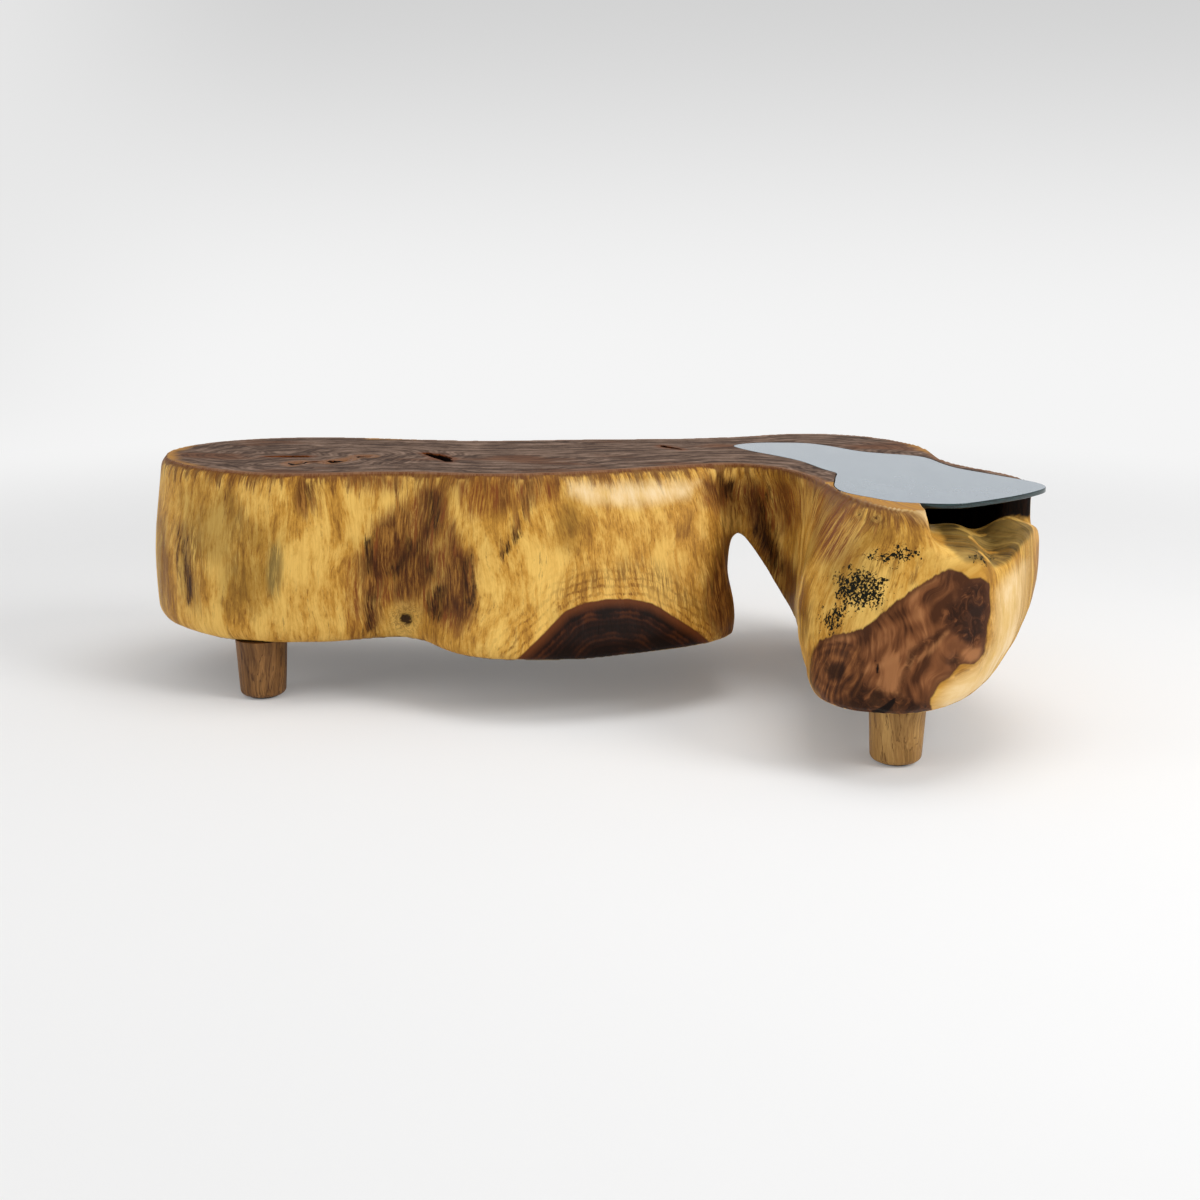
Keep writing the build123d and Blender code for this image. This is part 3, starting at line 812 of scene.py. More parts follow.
@dataclass(frozen=True)
class TrunkFinish:
    """The colours of the trunk's wood, and of the painted shade and painted highlights on it."""

    sap_dark: Colour = (138, 92, 34)
    sap_middle: Colour = (198, 145, 60)
    sap_light: Colour = (234, 190, 100)
    # Pale wood with a painted highlight.
    sap_pale_lit: Colour = (246, 224, 186)
    olive: Colour = (132, 100, 38)
    streak: Colour = (98, 54, 22)
    # Painted shade on the walls.
    shade: Colour = (104, 68, 26)
    splash: Colour = (122, 66, 30)
    tick: Colour = (118, 70, 24)
    stain_dark: Colour = (62, 32, 14)
    stain_middle: Colour = (104, 62, 26)
    stain_light: Colour = (186, 132, 60)
    core: Colour = (40, 20, 9)
    smudge: Colour = (92, 80, 48)
    # Dark heartwood; also the painted shade in the cracks and voids.
    heart_dark_and_shade: Colour = (22, 9, 4)
    heart_middle: Colour = (42, 19, 9)
    heart_light: Colour = (84, 44, 20)
    heart_edge: Colour = (108, 58, 28)
    burl_dark: Colour = (72, 40, 21)
    burl_middle: Colour = (124, 76, 44)
    burl_light: Colour = (172, 116, 72)
    speck: Colour = (20, 20, 10)
    rim: Colour = (96, 52, 24)
    # Painted highlight on the eased rim.
    rim_highlight: Colour = (146, 106, 76)
    moss_dark: Colour = (38, 32, 14)
    moss_light: Colour = (118, 96, 52)
    top_dark: Colour = (44, 33, 28)
    top_middle: Colour = (90, 71, 60)
    top_light: Colour = (150, 125, 108)
    top_warm: Colour = (106, 66, 42)
    void_warm: Colour = (150, 84, 44)
    below: Colour = (84, 74, 64)
    # Dark heartwood with painted shade inside the hollow.
    inner_heart_shade_dark: Colour = (12, 6, 3)
    inner_heart_shade_light: Colour = (44, 24, 12)

    def threads(self, p: Palette, bend: bpy.types.NodeSocket) -> dict[str, bpy.types.NodeSocket]:
        """Makes the fibre patterns that all parts of the wood share.

        Args:
            p: The material's palette.
            bend: The slow bend of the fibres.

        Returns:
            The patterns by name.
        """
        wall = p.wall()
        made = {
            "fine": p.noise(p.space((460, 1, 36), (0, 0.08, 0), warp=bend, base=wall), detail=3, rough=0.65),
            "thread": p.noise(p.space((150, 1, 12), (0, 0.1, 0), warp=bend, base=wall), detail=5, rough=0.68),
            "stroke": p.noise(
                p.space((62, 1, 10), (0, 0.16, 0), shift=(5, 2, 9), warp=bend, base=wall), detail=6, rough=0.74
            ),
            "broad": p.noise(p.space((17, 1, 6.5), (0, 0.3, 0), warp=bend, base=wall), detail=7, rough=0.7),
            "patch": p.noise(p.space((6, 1, 5), base=wall), detail=2, rough=0.5),
            "cloud": p.noise(p.space((30, 30, 26)), detail=3, rough=0.6),
        }
        made["grain"] = p.sum("MULTIPLY_ADD", made["thread"], 0.6, p.sum("MULTIPLY", made["fine"], 0.4))
        made["rough"] = p.sum("MULTIPLY_ADD", made["stroke"], 0.6, p.sum("MULTIPLY", made["thread"], 0.4))
        tick = p.noise(
            p.space((330, 1, 56), (0, 0.35, 0), shift=(1, 7, 4), warp=bend, base=wall), detail=3, rough=0.6
        )
        made["tick"] = p.ease(tick, 0.55, 0.66)
        hair = p.sum("MULTIPLY_ADD", p.ease(made["fine"], 0.32, 0.68), 0.4, p.sum(
            "MULTIPLY", p.ease(made["thread"], 0.34, 0.66), 0.6))
        made["soft"] = p.sum("MULTIPLY_ADD", hair, 0.36, p.sum("MULTIPLY", p.ease(made["broad"], 0.34, 0.62), 0.64))
        made["crisp"] = p.sum("MULTIPLY_ADD", hair, 0.62, p.sum("MULTIPLY", p.ease(made["stroke"], 0.36, 0.64), 0.38))
        return made

    def sapwood(self, p: Palette, t: dict[str, bpy.types.NodeSocket]) -> bpy.types.NodeSocket:
        """Colours the pale wood of the walls, with its drips, stains and smudges, its painted shade and its painted
        highlights.
        """
        sap = p.ramp(t["soft"], ((0.1, self.sap_dark), (0.44, self.sap_middle), (0.84, self.sap_light)))
        sap = p.mix(p.ease(t["patch"], 0.52, 0.66, 0.0, 0.45), sap, self.olive)
        sap = p.mix(p.ease(t["rough"], 0.55, 0.63, 0.0, 0.6), sap, self.streak)
        sap = p.mix(p.sum("MULTIPLY", t["tick"], p.ease(t["broad"], 0.58, 0.44, 0.05, 0.6)), sap, self.tick)
        splash = p.sum("MULTIPLY_ADD", t["stroke"], 40.0, p.attribute(Tone.SPLASH))
        splash = p.sum("MULTIPLY", p.ease(splash, 6, 36), p.ease(t["crisp"], 0.3, 0.62, 0.95, 0.25))
        sap = p.mix(splash, sap, self.splash)
        # Painted shade, broken up by the grain.
        shade = p.sum("MULTIPLY_ADD", t["broad"], 60.0, p.attribute(Tone.SHADE))
        shade = p.sum("MULTIPLY", p.ease(shade, 10, 62), p.ease(t["crisp"], 0.64, 0.36, 0.06, 0.8))
        sap = p.mix(shade, sap, self.shade)
        # Pale wood with a painted highlight where the light falls strongest.
        pale_and_lit = p.ease(p.sum("MULTIPLY_ADD", t["broad"], 26.0, p.attribute(Tone.PALE_AND_LIT)), 4, 34)
        sap = p.mix(p.sum("MULTIPLY", pale_and_lit, 0.85), sap, p.mix(t["soft"], self.sap_light, self.sap_pale_lit))

        rim = p.attribute(Tone.RIM)
        drip = p.sum("MULTIPLY_ADD", t["stroke"], 170.0, p.sum("MULTIPLY_ADD", t["thread"], 110.0, rim))
        drip = p.ease(drip, 112, 140, 0.0, 0.8)
        sap = p.mix(p.sum("MULTIPLY", drip, p.sum("SUBTRACT", 1.0, p.sum("MULTIPLY", pale_and_lit, 0.7))), sap, self.rim)
        shelf = p.ease(p.sum("MULTIPLY_ADD", t["cloud"], 14.0, p.attribute(Tone.SHELF)), 3, 14)
        moss = p.mix(p.ease(t["cloud"], 0.3, 0.66), self.moss_dark, self.moss_light)
        sap = p.mix(p.sum("MULTIPLY", shelf, p.ease(t["crisp"], 0.2, 0.8, 0.95, 0.6)), sap, moss)

        loose = p.sum("MULTIPLY_ADD", t["stroke"], 120.0, p.sum("MULTIPLY", t["thread"], 70.0))
        loose = p.sum("SUBTRACT", loose, 95.0)
        stain = p.sum("ADD", p.attribute(Tone.STAIN), loose)
        stained = p.ramp(t["crisp"], (
            (0.26, self.stain_dark), (0.52, self.stain_middle), (0.92, self.stain_light),
        ))
        wood = p.mix(p.ease(stain, -10, 14, 0.0, 0.96), sap, stained)
        core = p.sum("ADD", p.attribute(Tone.CORE), p.sum("MULTIPLY", loose, 0.9))
        core = p.sum("MULTIPLY", p.ease(core, -6, 8), p.ease(t["grain"], 0.62, 0.42, 0.35, 1.0))
        wood = p.mix(core, wood, self.core)
        smudge = p.sum("MULTIPLY_ADD", t["broad"], 34.0, p.attribute(Tone.SMUDGE))
        smudge = p.sum("MULTIPLY", p.ease(smudge, 14, 34, 0.0, 0.7), p.ease(t["crisp"], 0.75, 0.35, 0.2, 1.0))
        return p.mix(smudge, wood, self.smudge)

    def specks(self, p: Palette) -> bpy.types.NodeSocket:
        """Scatters the small black specks, dense in the middle of their clusters."""
        blot = p.noise(p.space((250, 250, 215), shift=(3, 8, 2)), detail=3, rough=0.7)
        chance = p.noise(p.space((70, 70, 60)), detail=3)
        spread = p.sum("MULTIPLY_ADD", chance, 60.0, p.attribute(Tone.SPECK))
        near = p.ease(spread, -4, 54, -0.3, 0.17)
        return p.ease(p.sum("ADD", blot, near), 0.60, 0.63)

    def heartwood(
        self, p: Palette, t: dict[str, bpy.types.NodeSocket], wood: bpy.types.NodeSocket
    ) -> bpy.types.NodeSocket:
        """Colours the dark half-moon, with fine rings and the broken arcs round it."""
        heart = p.sum("ADD", p.attribute(Tone.HEART), p.sum("MULTIPLY", p.sum("SUBTRACT", t["rough"], 0.5), 6.0))
        wave = p.sum("MULTIPLY_ADD", heart, 0.7, p.sum("MULTIPLY", t["cloud"], 9.0))
        slow = p.sum("MULTIPLY_ADD", heart, 0.17, p.sum("MULTIPLY", t["cloud"], 6.0))
        ring = p.sum("MULTIPLY_ADD", p.sum("SINE", wave), 0.09, p.sum(
            "MULTIPLY_ADD", p.sum("SINE", slow), 0.14, t["cloud"]))
        ring = p.sum("MULTIPLY_ADD", p.sum("SUBTRACT", t["stroke"], 0.5), 0.5, ring)
        inside = p.ramp(ring, ((0.36, self.heart_dark_and_shade), (0.6, self.heart_middle), (0.9, self.heart_light)))
        inside = p.mix(p.ease(heart, 22, 60, 0.0, 0.5), inside, self.heart_dark_and_shade)
        inside = p.mix(p.ease(heart, 20, 3, 0.0, 0.75), inside, self.heart_edge)
        arc = p.sum("SINE", p.sum("MULTIPLY_ADD", heart, 0.5, p.sum("MULTIPLY", t["cloud"], 13.0)))
        near = p.sum("MULTIPLY", p.ease(heart, -85, -14), p.ease(arc, -0.1, 1.0))
        dashes = p.sum("MULTIPLY", near, p.ease(t["fine"], 0.4, 0.62, 0.1, 1.0))
        wood = p.mix(p.sum("MULTIPLY", dashes, p.ease(t["broad"], 0.56, 0.44, 0.4, 1.0)), wood, self.tick)
        return p.mix(p.ease(heart, -1.6, 1.6), wood, inside)

    def burl(
        self, p: Palette, t: dict[str, bpy.types.NodeSocket], wood: bpy.types.NodeSocket
    ) -> bpy.types.NodeSocket:
        """Colours the burl: brown grain that flows round its outline, dark curls and an eye."""
        edge = p.attribute(Tone.BURL)
        burl = p.sum("ADD", edge, p.sum("MULTIPLY", p.sum("SUBTRACT", t["thread"], 0.5), 16.0))
        slow = p.noise(p.space((9, 9, 9), warp=p.drift(8, 0.05)), detail=2, rough=0.5, twist=0.4)
        curl = p.noise(p.space((42, 42, 42), warp=p.drift(26, 0.05)), detail=3, rough=0.6, twist=1.4)
        sway = p.drift(8, 0.07)
        wall = p.wall()
        fibre = p.noise(p.space((260, 1, 22), (0, -0.85, 0), warp=sway, base=wall), detail=3, rough=0.55)
        wide = p.noise(p.space((52, 1, 9), (0, -0.85, 0), warp=sway, base=wall), detail=3, rough=0.55)
        flow = p.sum("SINE", p.sum("MULTIPLY_ADD", edge, 0.16, p.sum("MULTIPLY", slow, 16.0)))
        figure = p.sum("MULTIPLY_ADD", p.ease(wide, 0.34, 0.66), 0.5, p.sum(
            "MULTIPLY_ADD", p.ease(fibre, 0.34, 0.66), 0.2, p.sum("MULTIPLY_ADD", flow, 0.1, 0.15)))
        brown = p.ramp(figure, ((0.2, self.burl_dark), (0.5, self.burl_middle), (0.86, self.burl_light)))
        brown = p.mix(p.ease(burl, 14, 1, 0.0, 0.75), brown, self.burl_dark)
        glow = p.sum("MULTIPLY_ADD", fibre, 16.0, p.attribute(Tone.GLOW))
        brown = p.mix(p.ease(glow, 4, 16, 0.0, 0.8), brown, self.burl_light)
        knotty = p.ramp(curl, ((0.42, self.core), (0.56, self.burl_dark), (0.7, self.burl_middle)))
        deep = p.sum("MULTIPLY_ADD", p.sum("SUBTRACT", curl, 0.5), 24.0, p.attribute(Tone.DEEP))
        brown = p.mix(p.ease(deep, -5, 9, 0.0, 0.92), brown, knotty)
        wood = p.mix(p.ease(burl, -1.6, 2.4), wood, brown)

        eye = p.sum("MULTIPLY_ADD", p.sum("SUBTRACT", slow, 0.5), 1.6, p.attribute(Tone.EYE))
        eye = p.sum("MULTIPLY_ADD", p.sum("SUBTRACT", curl, 0.5), 0.35, eye)
        turn = p.sum("MULTIPLY_ADD", p.sum("SINE", p.sum("MULTIPLY", eye, 19.0)), 0.05, fibre)
        whorl = p.ramp(turn, ((0.36, (58, 32, 18)), (0.52, (104, 62, 34)), (0.68, (150, 96, 54))))
        wood = p.mix(p.ease(eye, 1.15, 0.85, 0.0, 0.85), wood, whorl)
        return p.mix(p.ease(eye, 0.36, 0.14, 0.0, 0.85), wood, self.core)

    def knots(
        self, p: Palette, t: dict[str, bpy.types.NodeSocket], wood: bpy.types.NodeSocket
    ) -> bpy.types.NodeSocket:
        """Colours the knots: thin curled rings in the pale wood round a dark pit."""
        curl = p.noise(p.space((70, 70, 60), warp=p.drift(40, 0.02)), detail=3, rough=0.6, twist=0.8)
        knot = p.sum("MULTIPLY_ADD", p.sum("SUBTRACT", curl, 0.5), 1.5, p.attribute(Tone.KNOT))
        line = p.ease(p.sum("SINE", p.sum("MULTIPLY_ADD", knot, 3.0, p.sum("MULTIPLY", curl, 34.0))), 0.1, 1.0)
        near = p.ease(knot, 2.2, 1.0)
        wood = p.mix(p.sum("MULTIPLY", near, p.ease(curl, 0.35, 0.6, 0.2, 0.9)), wood, (196, 154, 78))
        wood = p.mix(p.sum("MULTIPLY", p.sum("MULTIPLY", near, line), 0.5), wood, self.stain_middle)
        # The pit is dark knot wood with painted shade in its dent.
        return p.mix(p.ease(knot, 0.8, 0.2, 0.0, 0.96), wood, self.core)

    def top(self, p: Palette, t: dict[str, bpy.types.NodeSocket], rim: bpy.types.NodeSocket) -> bpy.types.NodeSocket:
        """Colours the flat top: grey-brown heartwood with growth lines along the outline, and a painted highlight
        along the rim.
        """
        across = p.attribute(Tone.ACROSS)
        flow = p.noise(p.space((3.4, 9, 9), warp=p.drift(3.2, 0.14)), detail=2, rough=0.55)
        haze = p.noise(p.space((13, 30, 30), shift=(4, 1, 6), warp=p.drift(5, 0.08)), detail=4, rough=0.62)
        line = p.sum("MULTIPLY_ADD", across, 0.2, p.sum("MULTIPLY", flow, 26.0))
        thin = p.sum("SINE", p.sum("MULTIPLY_ADD", line, 2.9, p.sum("MULTIPLY", haze, 7.0)))
        pore = p.noise(p.space((80, 330, 330), warp=p.drift(5.0, 0.05)), detail=3, rough=0.65)
        face = p.sum("MULTIPLY_ADD", p.sum("SINE", line), 0.09, p.sum("MULTIPLY", thin, 0.08))
        face = p.sum("MULTIPLY_ADD", p.ease(haze, 0.34, 0.66), 0.24, face)
        face = p.sum("MULTIPLY_ADD", p.ease(pore, 0.36, 0.64), 0.15, p.sum("ADD", face, 0.33))
        top = p.ramp(face, ((0.16, self.top_dark), (0.48, self.top_middle), (0.84, self.top_light)))
        top = p.mix(p.sum("MULTIPLY", p.ease(flow, 0.54, 0.68), p.ease(face, 0.2, 0.7, 0.2, 0.7)), top, self.top_warm)
        hollow = p.sum("MULTIPLY_ADD", haze, 26.0, p.attribute(Tone.VOID))
        top = p.mix(p.ease(hollow, -2, 14, 0.0, 0.55), top, p.mix(t["grain"], self.top_dark, self.void_warm))
        # Painted highlight on the top's side of the eased rim.
        edge = p.ease(p.sum("MULTIPLY_ADD", haze, 16.0, rim), 21, 9, 0.0, 0.7)
        top = p.mix(edge, top, self.rim_highlight)
        # Pale wood on the top, partly a painted highlight.
        pale_and_lit = p.ease(p.sum("MULTIPLY_ADD", haze, 40.0, p.attribute(Tone.PALE_AND_LIT)), 10, 36)
        return p.mix(pale_and_lit, top, p.mix(t["crisp"], self.rim_highlight, self.sap_middle))

    def build(self) -> bpy.types.Material:
        """Lays out the wood: sapwood with its markings, dark heartwood on top, painted shade in the hollow, the
        cracks, the voids and the knots, and a painted highlight along the rim.

        Returns:
            The material.
        """
        p = Palette("trunk_wood")
        t = self.threads(p, p.drift(5.0, 0.05))
        wood = self.sapwood(p, t)
        spot = self.specks(p)
        wood = p.mix(spot, wood, self.speck)
        wood = self.heartwood(p, t, wood)
        wood = self.burl(p, t, wood)
        wood = self.knots(p, t, wood)
        tone = p.ease(t["grain"], 0.42, 0.66)
        # Dark heartwood with painted shade on the hollow's walls under the pane.
        inner_heart_and_shade = p.ease(p.attribute(Tone.INNER_HEART_AND_SHADE), -4, 4)
        wood = p.mix(inner_heart_and_shade, wood, p.mix(tone, self.inner_heart_shade_dark, self.inner_heart_shade_light))
        rim = p.attribute(Tone.RIM)
        # Where the pale wood carries its painted highlight, the rim's bands fade out.
        pale_and_lit = p.ease(p.sum("MULTIPLY_ADD", t["stroke"], 30.0, p.attribute(Tone.PALE_AND_LIT)), 26, 8, 0.1, 1.0)
        band = p.sum("MULTIPLY_ADD", p.sum("SUBTRACT", t["broad"], 0.5), 30.0, rim)
        dark = p.sum("MULTIPLY", p.ease(band, -8, -4), p.ease(t["crisp"], 0.66, 0.34, 0.3, 0.95))
        wood = p.mix(p.sum("MULTIPLY", dark, pale_and_lit), wood, self.rim)
        # Painted highlight on the wall's side of the eased rim, just below the top.
        eased = p.mix(t["crisp"], self.rim, self.rim_highlight)
        wood = p.mix(p.sum("MULTIPLY", p.ease(rim, -3.4, -2.2, 0.0, 0.85), pale_and_lit), wood, eased)
        on_top = p.ease(p.sum("MULTIPLY_ADD", t["grain"], 4.0, rim), 1, 4)
        wood = p.mix(on_top, wood, self.top(p, t, rim))
        # Painted shade in the cracks, in the darkest heartwood colour.
        wood = p.mix(p.ease(p.attribute(Tone.CRACK), -2.2, 0.6), wood, self.heart_dark_and_shade)
        # Painted shade inside the voids: near-black on their walls, warmer at the lip.
        void = p.attribute(Tone.VOID)
        lip = p.sum("MULTIPLY", p.ease(void, 5, 1.5), p.ease(t["cloud"], 0.42, 0.6, 0.05, 1.0))
        wood = p.mix(p.ease(void, 0.5, 1.2), wood, p.mix(lip, self.heart_dark_and_shade, self.void_warm))
        wood = p.mix(p.ease(rim, -291.0, -294.5, 0.0, 0.8), wood, self.below)

        gloss = p.sum("MULTIPLY_ADD", on_top, 0.24, p.ease(t["grain"], 0.35, 0.65, 0.38, 0.52))
        height = p.sum("MULTIPLY", p.sum("SUBTRACT", 1.0, on_top), t["grain"])
        normal = p.relief((height, 0.0014), (p.sum("MULTIPLY", spot, -1.0), 0.0006))
        shine = p.ease(p.sum("MULTIPLY_ADD", t["grain"], 0.2, on_top), 0.1, 1.1, 0.09, 0.05)
        return p.finish(Base_Color=wood, Roughness=gloss, Normal=normal, Specular_IOR_Level=shine)


@dataclass(frozen=True)
class LegFinish:
    """The colours of a leg's wood."""

    name: str
    dark: Colour
    middle: Colour
    light: Colour
    line: Colour
    slant: float

    def build(self) -> bpy.types.Material:
        """Lays out straight grain with darker lines that run at a slant.

        Returns:
            The material.
        """
        p = Palette(self.name)
        bend = p.drift(9.0, 0.03)
        grain = p.noise(p.space((330, 330, 16), (self.slant, 0, 0), warp=bend), detail=4, rough=0.65)
        broad = p.noise(p.space((44, 44, 2.4), (self.slant, 0, 0), warp=bend), detail=4)
        tone = p.sum("MULTIPLY_ADD", broad, 0.6, p.sum("MULTIPLY", grain, 0.4))
        wood = p.ramp(tone, ((0.36, self.dark), (0.5, self.middle), (0.64, self.light)))
        line = p.sum("SINE", p.sum("MULTIPLY_ADD", broad, 44.0, p.sum("MULTIPLY", grain, 4.0)))
        wood = p.mix(p.sum("MULTIPLY", p.ease(line, 0.86, 0.99), 0.7), wood, self.line)
        fleck = p.noise(p.space((70, 70, 5), (self.slant, 0, 0), shift=(7, 3, 1), warp=bend), detail=4, rough=0.7)
        wood = p.mix(p.ease(fleck, 0.54, 0.68, 0.0, 0.65), wood, self.dark)
        rough = p.ease(grain, 0.3, 0.7, 0.36, 0.52)
        return p.finish(Base_Color=wood, Roughness=rough, Normal=p.relief((grain, 0.0008)), Specular_IOR_Level=0.2)


@dataclass(frozen=True)
class GlassFinish:
    """The pane's face and its ground edge."""

    face: Colour = (160, 174, 186)
    streak: Colour = (167, 181, 192)
    edge_dark: Colour = (12, 26, 27)
    edge_light: Colour = (40, 72, 72)

    def build_face(self) -> bpy.types.Material:
        """Lays out the face: a misty grey-blue pane with faint drawn streaks."""
        p = Palette("glass")
        drawn = p.noise(p.space((26, 9, 10), warp=p.drift(3.0, 0.02)), detail=3, rough=0.6)
        cloud = p.noise(p.space((7, 7, 7)), detail=2)
        colour = p.mix(p.ease(drawn, 0.35, 0.7), self.face, self.streak)
        rough = p.ease(cloud, 0.3, 0.7, 0.05, 0.09)
        return p.finish(Base_Color=colour, Roughness=rough, Transmission_Weight=0.3, IOR=1.52)

    def build_edge(self) -> bpy.types.Material:
        """Lays out the edge: deep sea green with fine lines from grinding."""
        p = Palette("glass_edge")
        ground = p.noise(p.space((60, 60, 900)), detail=2)
        colour = p.mix(p.ease(ground, 0.35, 0.75), self.edge_dark, self.edge_light)
        rough = p.ease(ground, 0.3, 0.7, 0.12, 0.25)
        return p.finish(Base_Color=colour, Roughness=rough, Transmission_Weight=0.15, IOR=1.52)


@dataclass(frozen=True)
class PlainFinish:
    """A fitting's finish: two near colours in a fine pattern, with gloss and relief."""

    name: str
    dark: Colour
    light: Colour
    scale: tuple[float, float, float]
    rough: tuple[float, float] = (0.4, 0.6)
    relief: float = 0.0003
    metallic: float = 0.0
    transmission: float = 0.0
    sheen: float = 0.0

    def build(self) -> bpy.types.Material:
        """Lays out the finish and returns the material."""
        p = Palette(self.name)
        pattern = p.noise(p.space(self.scale), detail=4, rough=0.7)
        colour = p.mix(p.ease(pattern, 0.3, 0.7), self.dark, self.light)
        return p.finish(
            Base_Color=colour, Roughness=p.ease(pattern, 0.3, 0.7, *self.rough),
            Normal=p.relief((pattern, self.relief)), Metallic=self.metallic,
            Transmission_Weight=self.transmission, Sheen_Weight=self.sheen,
        )


@dataclass
class Pane:
    """The loose glass pane: the node's plan with its edges ground to a small bevel."""

    bevel: float = 0.0011
    finish: GlassFinish = field(default_factory=GlassFinish)

    def outline(self, node: bpy.types.Object) -> list[tuple[float, float]]:
        """Reads the pane's plan from its fixed node.

        Args:
            node: The pane's node.

        Returns:
            The plan's corners, counter-clockwise.
        """
        probe = copy_of_node(node, "plan_probe")
        held = bmesh.new()
        held.from_mesh(probe.data)
        lid = {face for face in held.faces if face.normal.z > 0.9}
        rim = [e for e in held.edges if sum(f in lid for f in e.link_faces) == 1]
        plan = [(corner.x, corner.y) for corner in closed_walk(rim)]
        held.free()
        bpy.data.objects.remove(probe)
        turn = sum(a[0] * b[1] - b[0] * a[1] for a, b in zip(plan, plan[1:] + plan[:1]))
        return plan if turn > 0 else plan[::-1]

    def build(self, node: bpy.types.Object) -> bpy.types.Object:
        """Models and dresses the pane.

        Args:
            node: The pane's node.

        Returns:
            The finished pane.
        """
        low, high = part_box(node.name)
        pane = prism("glass_pane", self.outline(node), low.z, high.z)
        apply_modifier(pane, "BEVEL", width=self.bevel, segments=3, limit_method="ANGLE", angle_limit=1.0)
        pane.data.materials.append(self.finish.build_face())
        pane.data.materials.append(self.finish.build_edge())
        for face in pane.data.polygons:
            face.material_index = 0 if abs(face.normal.z) > 0.9 else 1
            face.use_smooth = abs(face.normal.z) < 0.9
        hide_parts(node.name)
        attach(pane, "pane")
        return pane


@dataclass
class Void:
    """A natural void in the top, by its place, half sizes, turn in degrees and depth."""

    place: tuple[float, float]
    half_length: float
    half_width: float
    turn: float
    depth: float

    def plan(self, margin: float, count: int = 18) -> list[tuple[float, float]]:
        """Draws the void's ragged plan.

        Args:
            margin: How much wider than the void it is.
            count: How many corners it has.

        Returns:
            The corners, counter-clockwise.
        """
        corners = []
        for step in range(count):
            angle = math.tau * step / count
            ragged = 1 + 0.16 * math.sin(3 * angle + 40 * self.place[0]) + 0.1 * math.sin(7 * angle + self.turn)
            x = (self.half_length * ragged + margin) * math.cos(angle)
            y = (self.half_width * ragged + margin) * math.sin(angle)
            spin = math.radians(self.turn)
            corners.append((
                self.place[0] + x * math.cos(spin) - y * math.sin(spin),
                self.place[1] + x * math.sin(spin) + y * math.cos(spin),
            ))
        return corners


@dataclass(frozen=True)
class Swell:
    """A soft push on the trunk's wall, by its place, its reach and how far it moves the wood."""

    place: tuple[float, float, float]
    push: tuple[float, float, float]
    reach: float


